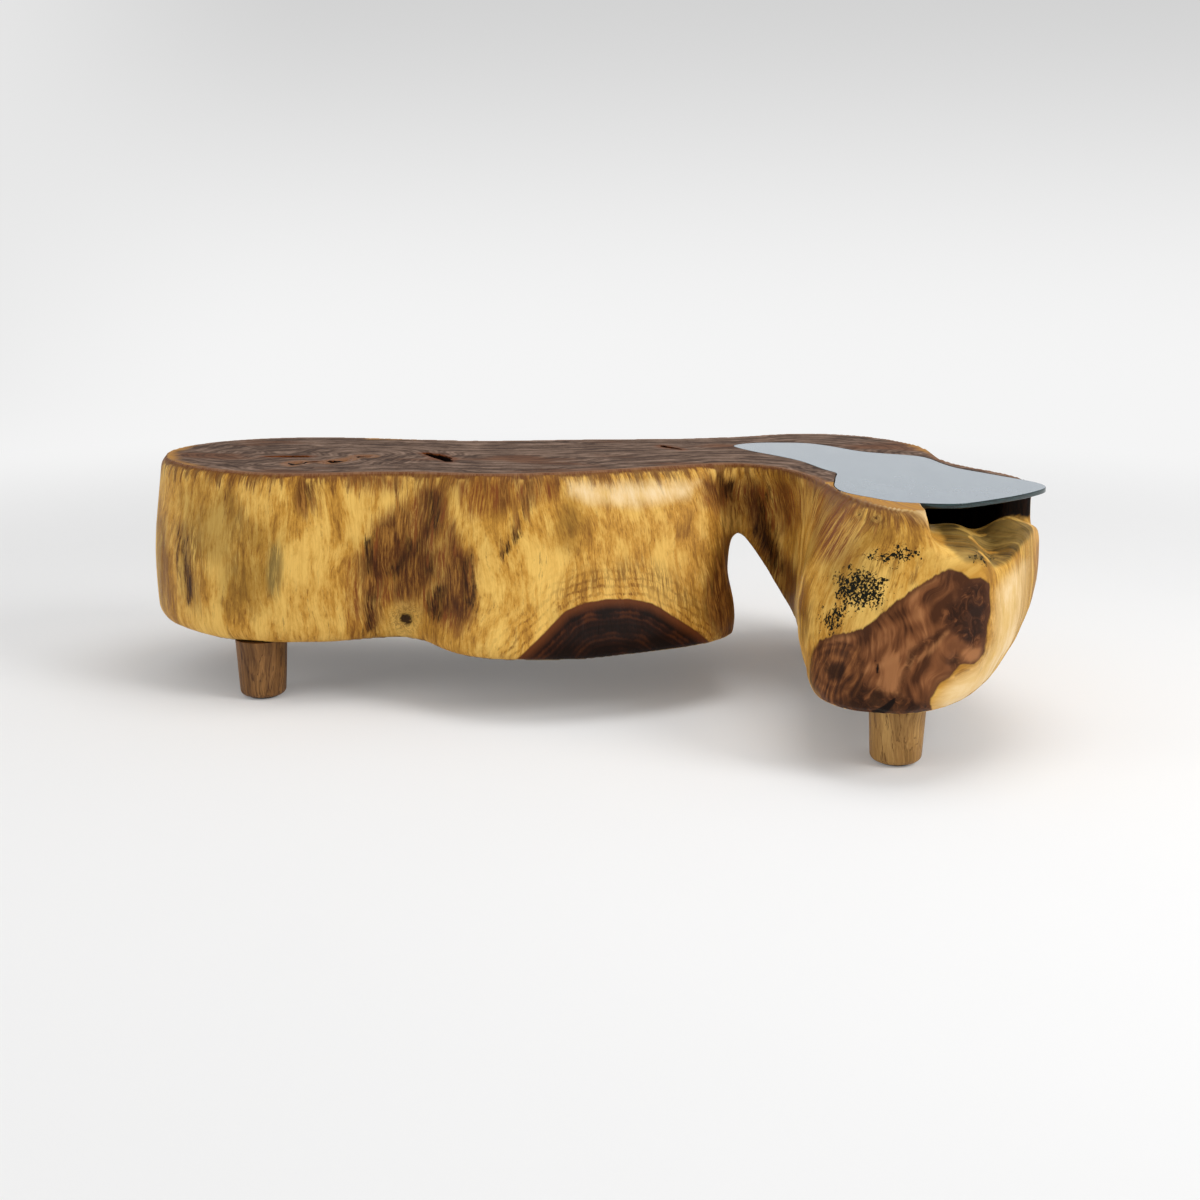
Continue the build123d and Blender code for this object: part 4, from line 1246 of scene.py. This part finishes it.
@dataclass
class Trunk:
    """The carved trunk: smoothed from its node, with crisp cuts, its natural markings and its painted shade and
    highlights.
    """

    voxel: float = 0.0057
    height: float = 0.400
    underside: float = 0.105
    ledge: float = 0.3892
    lip: float = 0.0015
    clear: float = 0.007
    line: float = 0.38
    seam: tuple[float, float] = (0.565, 0.128)
    hollow: tuple[float, float] = (0.60, -0.08)
    smoothing: int = 10
    evening: int = 40
    lump_size: float = 0.16
    lump_depth: float = 0.005
    flute_size: float = 0.045
    flute_depth: float = 0.0012
    voids: tuple[Void, ...] = (
        Void((-0.4689, 0.0937), 0.029, 0.0052, 20, 0.026),
        Void((-0.4173, 0.1169), 0.0203, 0.0049, 27, 0.020),
        Void((-0.5079, 0.1620), 0.042, 0.012, 0, 0.008),
        Void((-0.3759, 0.1678), 0.0129, 0.004, -5, 0.014),
        Void((-0.2392, 0.1562), 0.0621, 0.0149, -63, 0.055),
        Void((0.1802, 0.2779), 0.033, 0.008, -54, 0.030),
    )
    swells: tuple[Swell, ...] = (
        Swell((0.285, 0.01, 0.145), (0.011, -0.004, 0.0), 0.085),
        Swell((0.400, -0.410, 0.115), (-0.018, -0.012, 0.0), 0.12),
        Swell((0.740, -0.150, 0.190), (-0.020, 0.0, 0.0), 0.085),
        Swell((0.685, -0.235, 0.355), (0.0, -0.004, 0.011), 0.045),
        Swell((0.700, -0.170, 0.345), (0.0, 0.0, 0.012), 0.05),
        Swell((0.612, -0.200, 0.343), (0.0, 0.0, 0.008), 0.03),
        Swell((0.645, -0.245, 0.348), (0.0, 0.0, -0.006), 0.028),
        Swell((0.650, -0.310, 0.335), (-0.004, 0.0, -0.008), 0.035),
        Swell((0.605, -0.290, 0.330), (0.0, -0.003, 0.009), 0.03),
        Swell((0.735, -0.300, 0.320), (0.0, 0.0, 0.006), 0.04),
    )
    pressed: dict[Tone, float] = field(
        default_factory=lambda: {Tone.DEEP: 0.0016, Tone.CRACK: 0.004, Tone.CORE: 0.0012, Tone.STAIN: 0.0008}
    )
    view: PhotoView = field(default_factory=PhotoView)
    finish: TrunkFinish = field(default_factory=TrunkFinish)

    def lip_plan(
        self, plan: Outline, tree: BVHTree, on_wood: float, in_air: float
    ) -> list[tuple[float, float]]:
        """Moves the pane's plan outwards, by one step beside wood and another in the open.

        Args:
            plan: The pane's plan, counter-clockwise.
            tree: The trunk's fixed surface.
            on_wood: The step where the trunk has a lip beside the pane.
            in_air: The step where the pane hangs free.

        Returns:
            The moved plan.
        """
        moved = []
        for index, (x, y) in enumerate(plan):
            before, after = plan[index - 1], plan[(index + 1) % len(plan)]
            along = Vector((after[0] - before[0], after[1] - before[1]))
            out = Vector((along.y, -along.x)).normalized()
            probe = Vector((x + out.x * self.lip, y + out.y * self.lip, self.height - 0.004))
            distance = tree.find_nearest(probe)[3]
            step = on_wood if distance < 0.0011 else in_air
            moved.append((x + out.x * step, y + out.y * step))
        return moved

    def blank(self, node: bpy.types.Object, plan: Outline, tree: BVHTree) -> bpy.types.Object:
        """Copies the node, fills its sharp recesses and remeshes it evenly.

        Args:
            node: The trunk's node.
            plan: The pane's plan.
            tree: The trunk's fixed surface.

        Returns:
            The trunk's even blank.
        """
        piece = copy_of_node(node, "trunk_carved")
        fillers = [prism("filler", self.lip_plan(plan, tree, self.lip + 0.0004, -0.002), 0.3896, self.height)]
        for void in self.voids:
            fillers.append(prism("filler", void.plan(0.008), self.height - void.depth - 0.012, self.height))
        for x, y in self.bores:
            fillers.append(prism("filler", self.bore_plan(x, y, 0.010), self.underside, self.underside + 0.055))
        join(piece, fillers)
        apply_modifier(piece, "REMESH", mode="VOXEL", voxel_size=self.voxel)
        return piece

    @property
    def bores(self) -> list[tuple[float, float]]:
        """The places of the dowel screws, read from their fixed nodes."""
        found = []
        for name in Fittings.corners:
            low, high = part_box(f"dowel_screw_{name}")
            found.append(((low.x + high.x) / 2, (low.y + high.y) / 2))
        return found

    def bore_plan(self, x: float, y: float, radius: float) -> list[tuple[float, float]]:
        """Draws a round plan about a place."""
        return [
            (x + radius * math.cos(math.tau * step / 16), y + radius * math.sin(math.tau * step / 16))
            for step in range(16)
        ]

    def smooth(self, piece: bpy.types.Object) -> None:
        """Evens out the walls, and keeps the top and the underside flat.

        Args:
            piece: The trunk's blank.
        """
        rows = places(piece)
        free = rows[:, 2] < self.height - 0.0016
        group = piece.vertex_groups.new(name="walls")
        group.add([int(i) for i in np.flatnonzero(free)], 1.0, "REPLACE")
        apply_modifier(piece, "SMOOTH", factor=0.55, iterations=self.smoothing, vertex_group="walls")
        edges = rows[:, 2] > self.height - 0.012
        group = piece.vertex_groups.new(name="edges")
        group.add([int(i) for i in np.flatnonzero(edges)], 1.0, "REPLACE")
        apply_modifier(piece, "SMOOTH", factor=0.5, iterations=9, use_z=False, vertex_group="edges")
        for size, depth, seed in ((self.lump_size, self.lump_depth, 0), (self.flute_size, self.flute_depth, 1)):
            cloud = bpy.data.textures.new(f"relief_{seed}", "CLOUDS")
            cloud.noise_scale = size
            cloud.noise_depth = 1
            apply_modifier(
                piece, "DISPLACE", texture=cloud, texture_coords="LOCAL", strength=depth, mid_level=0.5,
                vertex_group="walls",
            )
        rows = places(piece)
        shelf = (rows[:, 0] > 0.545) & (rows[:, 1] < -0.04) & (rows[:, 2] > 0.262) & (rows[:, 2] < 0.374)
        group = piece.vertex_groups.new(name="shelf_face")
        group.add([int(i) for i in np.flatnonzero(shelf)], 1.0, "REPLACE")
        apply_modifier(piece, "SMOOTH", factor=0.55, iterations=16, vertex_group="shelf_face")
        rows = places(piece)
        for swell in self.swells:
            reach = np.linalg.norm(rows - np.array(swell.place), axis=1) / swell.reach
            rows += np.array(swell.push) * (np.clip(1 - reach**2, 0, 1) ** 2)[:, None]
        rows[:, 2] = np.where(rows[:, 2] > self.height - 0.0022, self.height, rows[:, 2])
        rows[:, 2] = np.where(rows[:, 2] < self.underside + 0.0012, self.underside, rows[:, 2])
        put_places(piece, rows)

    def dents(self, piece: bpy.types.Object) -> None:
        """Presses the knots and the burl's cracks into the wall.

        Args:
            piece: The trunk's blank.
        """
        rows, normals = places(piece), directions(piece)
        for side, spots, step in self.plans(rows, normals):
            for eye in (e for e in EYES if e.side is side):
                reach = np.hypot(*(spots - np.array(eye.centre)).T) / eye.radius
                rows -= normals * (eye.depth * softened(reach, 1.0, 0.1) * step)[:, None]
            for mark in (m for m in MARKINGS if m.side is side and m.tone in self.pressed):
                inside = inside_distance(spots, mark.outline)
                rows -= normals * (self.pressed[mark.tone] * softened(inside, -3.0, 6.0) * step)[:, None]
        put_places(piece, rows)

    def plans(
        self, rows: np.ndarray, normals: np.ndarray
    ) -> Iterator[tuple[Side, np.ndarray, np.ndarray]]:
        """Lays the vertices out on the plane of each side's outlines.

        Args:
            rows: The vertices' places.
            normals: The vertices' normals.

        Yields:
            The side, the vertices on its plane and how far each belongs to it, from 0 to 1.
        """
        front = softened(self.view.facing(rows, normals), 0.02, 0.14)
        yield Side.FRONT, self.view.pixels(rows), front * (rows[:, 2] < self.height - 0.0005)
        rear = softened(normals[:, 1], 0.05, 0.3)
        yield Side.REAR, rows[:, [0, 2]] * 1000, rear * (rows[:, 1] > 0.1)
        yield Side.TOP, rows[:, :2] * 1000, (rows[:, 2] > self.height - 0.0005).astype(float)

    def cut(self, piece: bpy.types.Object, plan: Outline, tree: BVHTree) -> None:
        """Cuts the rebate, the voids and the screw bores with crisp edges.

        Args:
            piece: The trunk's blank.
            plan: The pane's plan.
            tree: The trunk's fixed surface.
        """
        cutter = prism("cutter", self.lip_plan(plan, tree, self.lip, self.clear), self.ledge, self.height + 0.03)
        others = [
            prism("cutter", void.plan(0), self.height - void.depth, self.height + 0.03) for void in self.voids
        ]
        others += [
            prism("cutter", self.bore_plan(x, y, 0.0051), self.underside - 0.02, self.underside + 0.046)
            for x, y in self.bores
        ]
        join(cutter, others)
        carve(piece, cutter)

    def rim_line(self, piece: bpy.types.Object) -> KDTree:
        """Finds the line where the flat top turns down into the walls.

        Args:
            piece: The trunk's blank, before its top is cut.

        Returns:
            The line's points.
        """
        held = bmesh.new()
        held.from_mesh(piece.data)
        flat = self.height - 0.0002
        line = [v.co.copy() for v in held.verts if v.co.z > flat and any(
            e.other_vert(v).co.z < flat for e in v.link_edges)]
        held.free()
        tree = KDTree(len(line))
        for index, place in enumerate(line):
            tree.insert((place.x, place.y, 0.0), index)
        tree.balance()
        return tree

    def around(self, node: bpy.types.Object, piece: bpy.types.Object) -> np.ndarray:
        """Measures how far round the trunk its vertices lie, along a level line near its rim.

        Args:
            node: The trunk's node.
            piece: The trunk.

        Returns:
            The distance along the line for each vertex, in metres, evened out over the mesh.
        """
        probe = copy_of_node(node, "line_probe")
        with editing(probe, "EDGE"):
            bpy.ops.mesh.select_all(action="SELECT")
            bpy.ops.mesh.bisect(plane_co=(0, 0, self.line), plane_no=(0, 0, 1), clear_inner=True, clear_outer=True)
        held = bmesh.new()
        held.from_mesh(probe.data)
        corners = np.array([corner.xy for corner in closed_walk(list(held.edges))])
        held.free()
        bpy.data.objects.remove(probe)
        start = int(np.argmin(np.hypot(*(corners - np.array(self.seam)).T)))
        corners = np.roll(corners, -start, axis=0)
        ends = np.roll(corners, -1, axis=0)
        sizes = np.hypot(*(ends - corners).T)
        count = np.maximum(1, np.ceil(sizes / 0.001)).astype(int)
        tree, far = KDTree(int(count.sum())), []
        for begin, end, size, steps, before in zip(corners, ends, sizes, count, np.cumsum(sizes) - sizes):
            for step in range(steps):
                spot = begin + (end - begin) * step / steps
                tree.insert((spot[0], spot[1], 0.0), len(far))
                far.append(before + size * step / steps)
        tree.balance()
        rows = places(piece)
        whole = float(sizes.sum())
        turn = np.exp(2j * math.pi / whole * np.array([far[tree.find((x, y, 0.0))[1]] for x, y in rows[:, :2]]))
        pairs = np.array([edge.vertices[:] for edge in piece.data.edges])
        starts, ends = np.r_[pairs[:, 0], pairs[:, 1]], np.r_[pairs[:, 1], pairs[:, 0]]
        for _ in range(self.evening):
            real = np.bincount(starts, turn.real[ends], len(rows))
            turn = real + 1j * np.bincount(starts, turn.imag[ends], len(rows))
            turn /= np.maximum(np.abs(turn), 1e-9)
        return (np.angle(turn) / (2 * math.pi) % 1.0) * whole

    def mark(self, piece: bpy.types.Object, node: bpy.types.Object, rim: KDTree, plan: Outline) -> None:
        """Stores how far each vertex lies inside each marking, in millimetres.

        Args:
            piece: The trunk.
            node: The trunk's node.
            rim: The line round the flat top.
            plan: The pane's plan.
        """
        rows, normals = places(piece), directions(piece)
        far = -140.0
        values = {tone: np.full(len(rows), far) for tone in Tone}
        values[Tone.EYE] = np.full(len(rows), 4.0)
        values[Tone.KNOT] = np.full(len(rows), 4.0)
        for side, spots, share in self.plans(rows, normals):
            unit = 1.7 if side is Side.FRONT else 1.0
            for mark in (m for m in MARKINGS if m.side is side):
                reach = np.maximum(inside_distance(spots, mark.outline) * unit, far)
                values[mark.tone] = np.maximum(values[mark.tone], far + (reach - far) * share)
            for eye in (e for e in EYES if e.side is side):
                reach = np.hypot(*(spots - np.array(eye.centre)).T) / eye.radius
                near = np.minimum(reach, 4) * share + 4 * (1 - share)
                values[eye.tone] = np.minimum(values[eye.tone], near)
        top = rows[:, 2] > self.height - 0.0003
        depth = np.array([rim.find((x, y, 0.0))[2] for x, y in rows[:, :2]]) * 1000
        fall = (rows[:, 2] - self.height) * 1000
        values[Tone.RIM] = np.where(top, depth, fall)
        # The hollow under the pane takes dark heartwood with painted shade: walls that face into it below the pane,
        # what shows under the pane and what lies hidden behind it; the shelf keeps its own colour.
        plan_reach = inside_distance(rows[:, :2], plan) * 1000
        outward = ((rows[:, :2] - np.array(self.hollow)) * normals[:, :2]).sum(axis=1)
        facing_in = outward < 0.004
        below = (rows[:, 2] < 0.3875) & (rows[:, 2] > self.underside + 0.1)
        deep = (plan_reach > 1.0) & below & (facing_in | (plan_reach > 25))
        open_end = (rows[:, 0] > 0.5) & (rows[:, 1] < 0.0) & (rows[:, 2] < 0.374) & (rows[:, 2] > 0.27)
        shelf = open_end & (normals[:, 2] > 0.3)
        seen = (values[Tone.INNER_HEART_AND_SHADE] > 0) & (rows[:, 1] > -0.3) & facing_in
        hidden = (values[Tone.INNER_HEART_AND_SHADE] > 6) & (rows[:, 1] > -0.25)
        inner_heart_and_shade = np.where(((deep | seen) & ~shelf) | hidden, 10.0, -10.0)
        mossy = np.minimum(values[Tone.SHELF], np.where(open_end, (normals[:, 2] - 0.3) * 26, -20.0))
        pairs = np.array([edge.vertices[:] for edge in piece.data.edges])
        starts, ends = np.r_[pairs[:, 0], pairs[:, 1]], np.r_[pairs[:, 1], pairs[:, 0]]
        links = np.maximum(np.bincount(starts, minlength=len(rows)), 1)
        for _ in range(4):
            inner_heart_and_shade = np.bincount(starts, inner_heart_and_shade[ends], len(rows)) / links
            mossy = np.bincount(starts, mossy[ends], len(rows)) / links
        values[Tone.INNER_HEART_AND_SHADE], values[Tone.SHELF] = inner_heart_and_shade, mossy
        values[Tone.ACROSS] = depth
        values[Tone.DOWN] = -np.hypot(depth, fall) / 1000
        values[Tone.AROUND] = self.around(node, piece)
        for void in self.voids:
            reach = inside_distance(rows[:, :2], void.plan(0.0004)) * 1000
            reach = np.where((reach > 0) & (fall < -1), 1300 * void.depth, reach)
            values[Tone.VOID] = np.maximum(values[Tone.VOID], reach)
        values[Tone.VOID] = np.where(fall < -60, far, values[Tone.VOID])
        for tone, column in values.items():
            store = piece.data.attributes.new(tone.value, "FLOAT", "POINT")
            store.data.foreach_set("value", column.astype(np.float32))

    def build(self, node: bpy.types.Object, plan: Outline) -> bpy.types.Object:
        """Models and dresses the trunk.

        Args:
            node: The trunk's node.
            plan: The pane's plan.

        Returns:
            The finished trunk.
        """
        probe = copy_of_node(node, "trunk_probe")
        tree = BVHTree.FromPolygons(
            [v.co.copy() for v in probe.data.vertices], [tuple(f.vertices) for f in probe.data.polygons]
        )
        bpy.data.objects.remove(probe)
        piece = self.blank(node, plan, tree)
        self.smooth(piece)
        self.dents(piece)
        rim = self.rim_line(piece)
        self.cut(piece, plan, tree)
        self.mark(piece, node, rim, plan)
        activate(piece)
        bpy.ops.object.shade_smooth_by_angle(angle=math.radians(42))
        piece.data.materials.clear()
        piece.data.materials.append(self.finish.build())
        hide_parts(node.name)
        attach(piece, "table")
        return piece


@dataclass
class Fittings:
    """What stands under and in the trunk: legs, dowel screws, felt pads and bumpers."""

    corners = ("front_left", "front_right", "rear_left", "rear_right")
    foot: float = 0.003
    top_radius: float = 0.0455
    foot_radius: float = 0.0398
    foot_round: float = 0.010
    brown: LegFinish = LegFinish(
        "leg_wood_brown", (70, 44, 22), (122, 84, 46), (156, 112, 64), (58, 32, 18), 0.06
    )
    pale: LegFinish = LegFinish(
        "leg_wood_pale", (128, 92, 46), (168, 126, 70), (198, 156, 92), (96, 62, 30), 0.3
    )
    felt: PlainFinish = PlainFinish(
        "felt", (20, 18, 16), (52, 47, 42), (900, 900, 500), (0.9, 1.0), 0.0008, sheen=0.4
    )
    rubber: PlainFinish = PlainFinish(
        "bumper_rubber", (190, 194, 196), (214, 218, 220), (260, 260, 260), (0.18, 0.3), 0.0001,
        transmission=0.6,
    )
    steel: PlainFinish = PlainFinish(
        "steel", (150, 150, 146), (196, 196, 190), (300, 300, 90), (0.28, 0.42), 0.0001, metallic=1.0
    )

    def middle(self, node: str) -> tuple[float, float]:
        """Finds the plan centre of a fixed node."""
        low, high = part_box(node)
        return (low.x + high.x) / 2, (low.y + high.y) / 2

    def dress(
        self, piece: bpy.types.Object, node: str, material: bpy.types.Material
    ) -> bpy.types.Object:
        """Gives a piece its finish and its place in the table.

        Args:
            piece: The piece.
            node: The node it stands for.
            material: Its finish.

        Returns:
            The same piece.
        """
        piece.data.materials.clear()
        piece.data.materials.append(material)
        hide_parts(node)
        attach(piece, "table")
        return piece

    def model_leg(self, height: float) -> bpy.types.Object:
        """Turns one leg: tapered, its foot rounded, its side slightly uneven.

        Args:
            height: The height of the trunk's underside.

        Returns:
            The leg about the Z axis.
        """
        deselect_all()
        bpy.ops.mesh.primitive_cylinder_add(
            vertices=56, radius=self.top_radius, depth=height - self.foot, location=(0, 0, (height + self.foot) / 2)
        )
        leg = settle(bpy.context.active_object)
        leg.name = "leg_model"
        with editing(leg, "EDGE"):
            pick(leg, "edges", lambda e: all(v.co.z < self.foot + 0.001 for v in e.verts))
            share = self.foot_radius / self.top_radius
            bpy.ops.transform.resize(value=(share, share, 1), center_override=(0, 0, self.foot))
            bpy.ops.mesh.bevel(offset=self.foot_round, segments=6)
            for height_share in (0.3, 0.45, 0.6, 0.75, 0.9):
                bpy.ops.mesh.select_all(action="SELECT")
                level = self.foot + (height - self.foot) * height_share
                bpy.ops.mesh.bisect(plane_co=(0, 0, level), plane_no=(0, 0, 1))
        cloud = bpy.data.textures.new("leg_relief", "CLOUDS")
        cloud.noise_scale = 0.05
        apply_modifier(leg, "DISPLACE", texture=cloud, texture_coords="LOCAL", strength=0.0016, mid_level=0.7)
        rows = places(leg)
        rows[:, 2] = np.clip(rows[:, 2], self.foot, height)
        put_places(leg, rows)
        activate(leg)
        bpy.ops.object.shade_smooth_by_angle(angle=math.radians(38))
        return leg

    def model_pad(self, node: str) -> bpy.types.Object:
        """Models one felt pad, a disc with eased edges, about the Z axis."""
        low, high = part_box(node)
        deselect_all()
        bpy.ops.mesh.primitive_cylinder_add(
            vertices=48, radius=(high.x - low.x) / 2, depth=high.z - low.z, location=(0, 0, (low.z + high.z) / 2)
        )
        pad = settle(bpy.context.active_object)
        apply_modifier(pad, "BEVEL", width=0.0007, segments=2, limit_method="ANGLE")
        activate(pad)
        bpy.ops.object.shade_smooth_by_angle(angle=math.radians(38))
        return pad

    def model_screw(self, node: str) -> bpy.types.Object:
        """Cuts one double-ended dowel screw with its thread, about the Z axis.

        Args:
            node: A dowel screw's node.

        Returns:
            The screw.
        """
        low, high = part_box(node)
        radius, pitch = (high.x - low.x) / 2 - 0.0002, 0.0036
        turns = int((high.z - low.z) / pitch) - 1
        deselect_all()
        bpy.ops.mesh.primitive_plane_add(size=1, location=(0, 0, 0))
        screw = bpy.context.active_object
        with editing(screw, "EDGE"):
            bpy.ops.mesh.select_all(action="SELECT")
            bpy.ops.mesh.delete(type="ONLY_FACE")
            pick(screw, "edges", lambda e: all(v.co.x < 0 for v in e.verts))
            bpy.ops.mesh.delete(type="EDGE")
        corners = ((radius * 0.7, 0.0), (radius, pitch * 0.45), (radius, pitch * 0.55), (radius * 0.7, pitch))
        chain = sorted(screw.data.vertices, key=lambda v: (v.co.y > 0, (v.co.x > 0) != (v.co.y > 0)))
        for vertex, (x, z) in zip(chain, corners):
            vertex.co = (x, 0, z)
        apply_modifier(
            screw, "SCREW", angle=math.tau, screw_offset=pitch, iterations=turns, steps=20, render_steps=20,
            use_merge_vertices=True, merge_threshold=0.00005,
        )
        deselect_all()
        length = high.z - low.z
        bpy.ops.mesh.primitive_cylinder_add(vertices=24, radius=radius * 0.74, depth=length, location=(0, 0, length / 2))
        core = settle(bpy.context.active_object)
        apply_modifier(core, "BEVEL", width=radius * 0.4, segments=2, limit_method="ANGLE")
        screw.data.transform(Matrix.Translation((0, 0, pitch)))
        join(screw, [core])
        with editing(screw):
            bpy.ops.mesh.select_all(action="SELECT")
            bpy.ops.mesh.remove_doubles(threshold=0.00004)
            bpy.ops.mesh.normals_make_consistent(inside=False)
        screw.data.transform(Matrix.Translation((0, 0, low.z)))
        activate(screw)
        bpy.ops.object.shade_smooth_by_angle(angle=math.radians(35))
        return screw

    def model_bumper(self, node: str) -> bpy.types.Object:
        """Models one soft bumper, a low dome, about the Z axis."""
        low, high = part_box(node)
        deselect_all()
        bpy.ops.mesh.primitive_cylinder_add(
            vertices=32, radius=(high.x - low.x) / 2, depth=high.z - low.z, location=(0, 0, (low.z + high.z) / 2)
        )
        bumper = settle(bpy.context.active_object)
        with editing(bumper, "EDGE"):
            pick(bumper, "edges", lambda e: all(v.co.z > high.z - 0.0001 for v in e.verts))
            bpy.ops.mesh.bevel(offset=0.0016, segments=4)
        activate(bumper)
        bpy.ops.object.shade_smooth_by_angle(angle=math.radians(50))
        return bumper

    def build(self, underside: float) -> list[bpy.types.Object]:
        """Models one of each fitting and sets its copies in their places.

        Args:
            underside: The height of the trunk's underside.

        Returns:
            The fittings.
        """
        made = []
        brown, pale = self.brown.build(), self.pale.build()
        felt, rubber, steel = self.felt.build(), self.rubber.build(), self.steel.build()
        leg = self.model_leg(underside)
        pad = self.model_pad("felt_pad_front_left")
        screw = self.model_screw("dowel_screw_front_left")
        bumper = self.model_bumper("bumper_01")
        for index, name in enumerate(self.corners):
            x, y = self.middle(f"leg_{name}")
            wood = brown if name in ("front_left", "rear_right") else pale
            turned = twin(leg, f"leg_turned_{name}", (x, y, 0), 1.4 * index)
            made.append(self.dress(turned, f"leg_{name}", wood))
            pads = twin(pad, f"pad_{name}", (x, y, 0))
            made.append(self.dress(pads, f"felt_pad_{name}", felt))
            thread = twin(screw, f"screw_{name}", (x, y, 0))
            made.append(self.dress(thread, f"dowel_screw_{name}", steel))
        for number in range(1, 7):
            x, y = self.middle(f"bumper_0{number}")
            dome = twin(bumper, f"bumper_dome_0{number}", (x, y, 0))
            made.append(self.dress(dome, f"bumper_0{number}", rubber))
        for model in (leg, pad, screw, bumper):
            bpy.data.objects.remove(model)
        return made


@dataclass
class Studio:
    """The pale floor that sweeps up into a backdrop, and the soft lamps."""

    width: float = 26.0
    depth: float = 7.0
    sweep: float = 3.0
    shade: Colour = (238, 238, 238)
    ambient: float = 0.6
    seen_air: float = 0.9

    def floor(self) -> bpy.types.Object:
        """Models the floor and its sweep.

        Returns:
            The floor.
        """
        deselect_all()
        bpy.ops.mesh.primitive_plane_add(size=self.width, location=(0, self.depth - self.width / 2, 0))
        floor = settle(bpy.context.active_object)
        floor.name = "studio_floor"
        with editing(floor, "EDGE"):
            pick(floor, "edges", lambda e: all(v.co.y > self.depth - 0.01 for v in e.verts))
            bpy.ops.mesh.extrude_region_move(TRANSFORM_OT_translate={"value": (0, 0, 9)})
            pick(floor, "edges", lambda e: all(v.co.y > self.depth - 0.01 and v.co.z < 0.01 for v in e.verts))
            bpy.ops.mesh.bevel(offset=self.sweep, segments=24)
        activate(floor)
        bpy.ops.object.shade_smooth()
        floor.data.materials.append(self.finish())
        return floor

    def finish(self) -> bpy.types.Material:
        """Lays out the floor's paper: it takes the shadow near the table, which a faint painted glow lightens, and
        glows far behind it, with painted shade that darkens the glow upward and to the left.

        Returns:
            The material.
        """
        p = Palette("studio_floor")
        mottle = p.noise(p.space((2, 2, 2)), detail=2)
        colour = p.mix(mottle, self.shade, (240, 240, 240))
        paper = p.add("ShaderNodeBsdfDiffuse")
        p.feed(paper.inputs["Color"], colour)
        glow = p.add("ShaderNodeEmission")
        apart = p.add("ShaderNodeSeparateXYZ")
        p.feed(apart.inputs[0], p.space((1, 1, 1)))
        # Painted shade on the backdrop's glow: darker higher up and towards the left.
        pale = p.mix(p.ease(apart.outputs[2], 0.0, 2.3), (245, 245, 245), (208, 208, 208))
        p.feed(glow.inputs["Color"], p.mix(p.ease(apart.outputs[0], -1.4, -3.8), pale, (232, 232, 232)))
        ray = p.add("ShaderNodeLightPath")
        seen = p.sum("MAXIMUM", ray.outputs["Is Camera Ray"], p.sum(
            "MAXIMUM", p.sum("MULTIPLY", ray.outputs["Is Glossy Ray"], 0.7), ray.outputs["Is Transmission Ray"]))
        away = p.add("ShaderNodeVectorMath", operation="LENGTH")
        p.feed(away.inputs[0], p.space((1, 1, 0)))
        # A faint painted glow lightens the shadow near the table; far away the glow takes over.
        far = p.sum("MULTIPLY", seen, p.ease(away.outputs["Value"], 1.3, 3.6, 0.14, 1.0))
        blend = p.add("ShaderNodeMixShader")
        p.feed(blend.inputs[0], far)
        p.feed(blend.inputs[1], paper.outputs[0])
        p.feed(blend.inputs[2], glow.outputs[0])
        p.feed(p.output.inputs["Surface"], blend.outputs[0])
        return p.material

    def lamp(self, name: str, place: Sequence[float], aim: Sequence[float], size: float, watts: float) -> None:
        """Hangs one soft lamp.

        Args:
            name: The lamp's name.
            place: Where it hangs.
            aim: What it points at.
            size: The length of its side.
            watts: Its power.
        """
        light = bpy.data.lights.new(name, "AREA")
        light.shape = "DISK"
        light.size = size
        light.energy = watts
        holder = bpy.data.objects.new(name, light)
        holder.location = place
        holder.rotation_euler = (Vector(aim) - Vector(place)).to_track_quat("-Z", "Y").to_euler()
        bpy.context.scene.collection.objects.link(holder)

    def build(self) -> None:
        """Makes the floor, the lamps and the even light round them."""
        self.floor()
        self.lamp("lamp_key", (3.5, -1.9, 3.0), (0.1, 0.0, 0.2), 2.1, 84)
        self.lamp("lamp_fill", (-3.2, -1.6, 1.3), (-0.5, 0.1, 0.3), 1.4, 16)
        self.lamp("lamp_top", (0.7, 0.0, 3.3), (0.0, 0.0, 0.0), 2.0, 31)
        world = bpy.data.worlds.new("studio_air")
        world.use_nodes = True
        air = world.node_tree.nodes["Background"]
        air.inputs["Color"].default_value = (1, 1, 1, 1)
        ray = world.node_tree.nodes.new("ShaderNodeLightPath")
        level = world.node_tree.nodes.new("ShaderNodeMapRange")
        level.inputs["To Min"].default_value = self.ambient
        level.inputs["To Max"].default_value = self.seen_air
        world.node_tree.links.new(ray.outputs["Is Camera Ray"], level.inputs["Value"])
        world.node_tree.links.new(level.outputs["Result"], air.inputs["Strength"])
        scene = bpy.context.scene
        scene.world = world
        scene.view_settings.view_transform = "Standard"


def report(piece: bpy.types.Object) -> None:
    """Logs a piece's name and how many triangles it has."""
    count = sum(len(face.vertices) - 2 for face in piece.data.polygons)
    LOG.info("%s: %d triangles", piece.name, count)


def main() -> None:
    """Builds the camera, the table and the studio in order."""
    logging.basicConfig(level=logging.INFO, format="%(name)s %(message)s", stream=sys.stdout)
    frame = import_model()
    nodes = frame["nodes"]
    view = PhotoView()
    view.build()
    pane = Pane()
    trunk = Trunk(view=view)
    report(trunk.build(nodes["trunk"], pane.outline(nodes["glass_top"])))
    report(pane.build(nodes["glass_top"]))
    for piece in Fittings().build(trunk.underside):
        report(piece)
    Studio().build()
    bpy.context.view_layer.update()


if __name__ == "__main__":
    main()
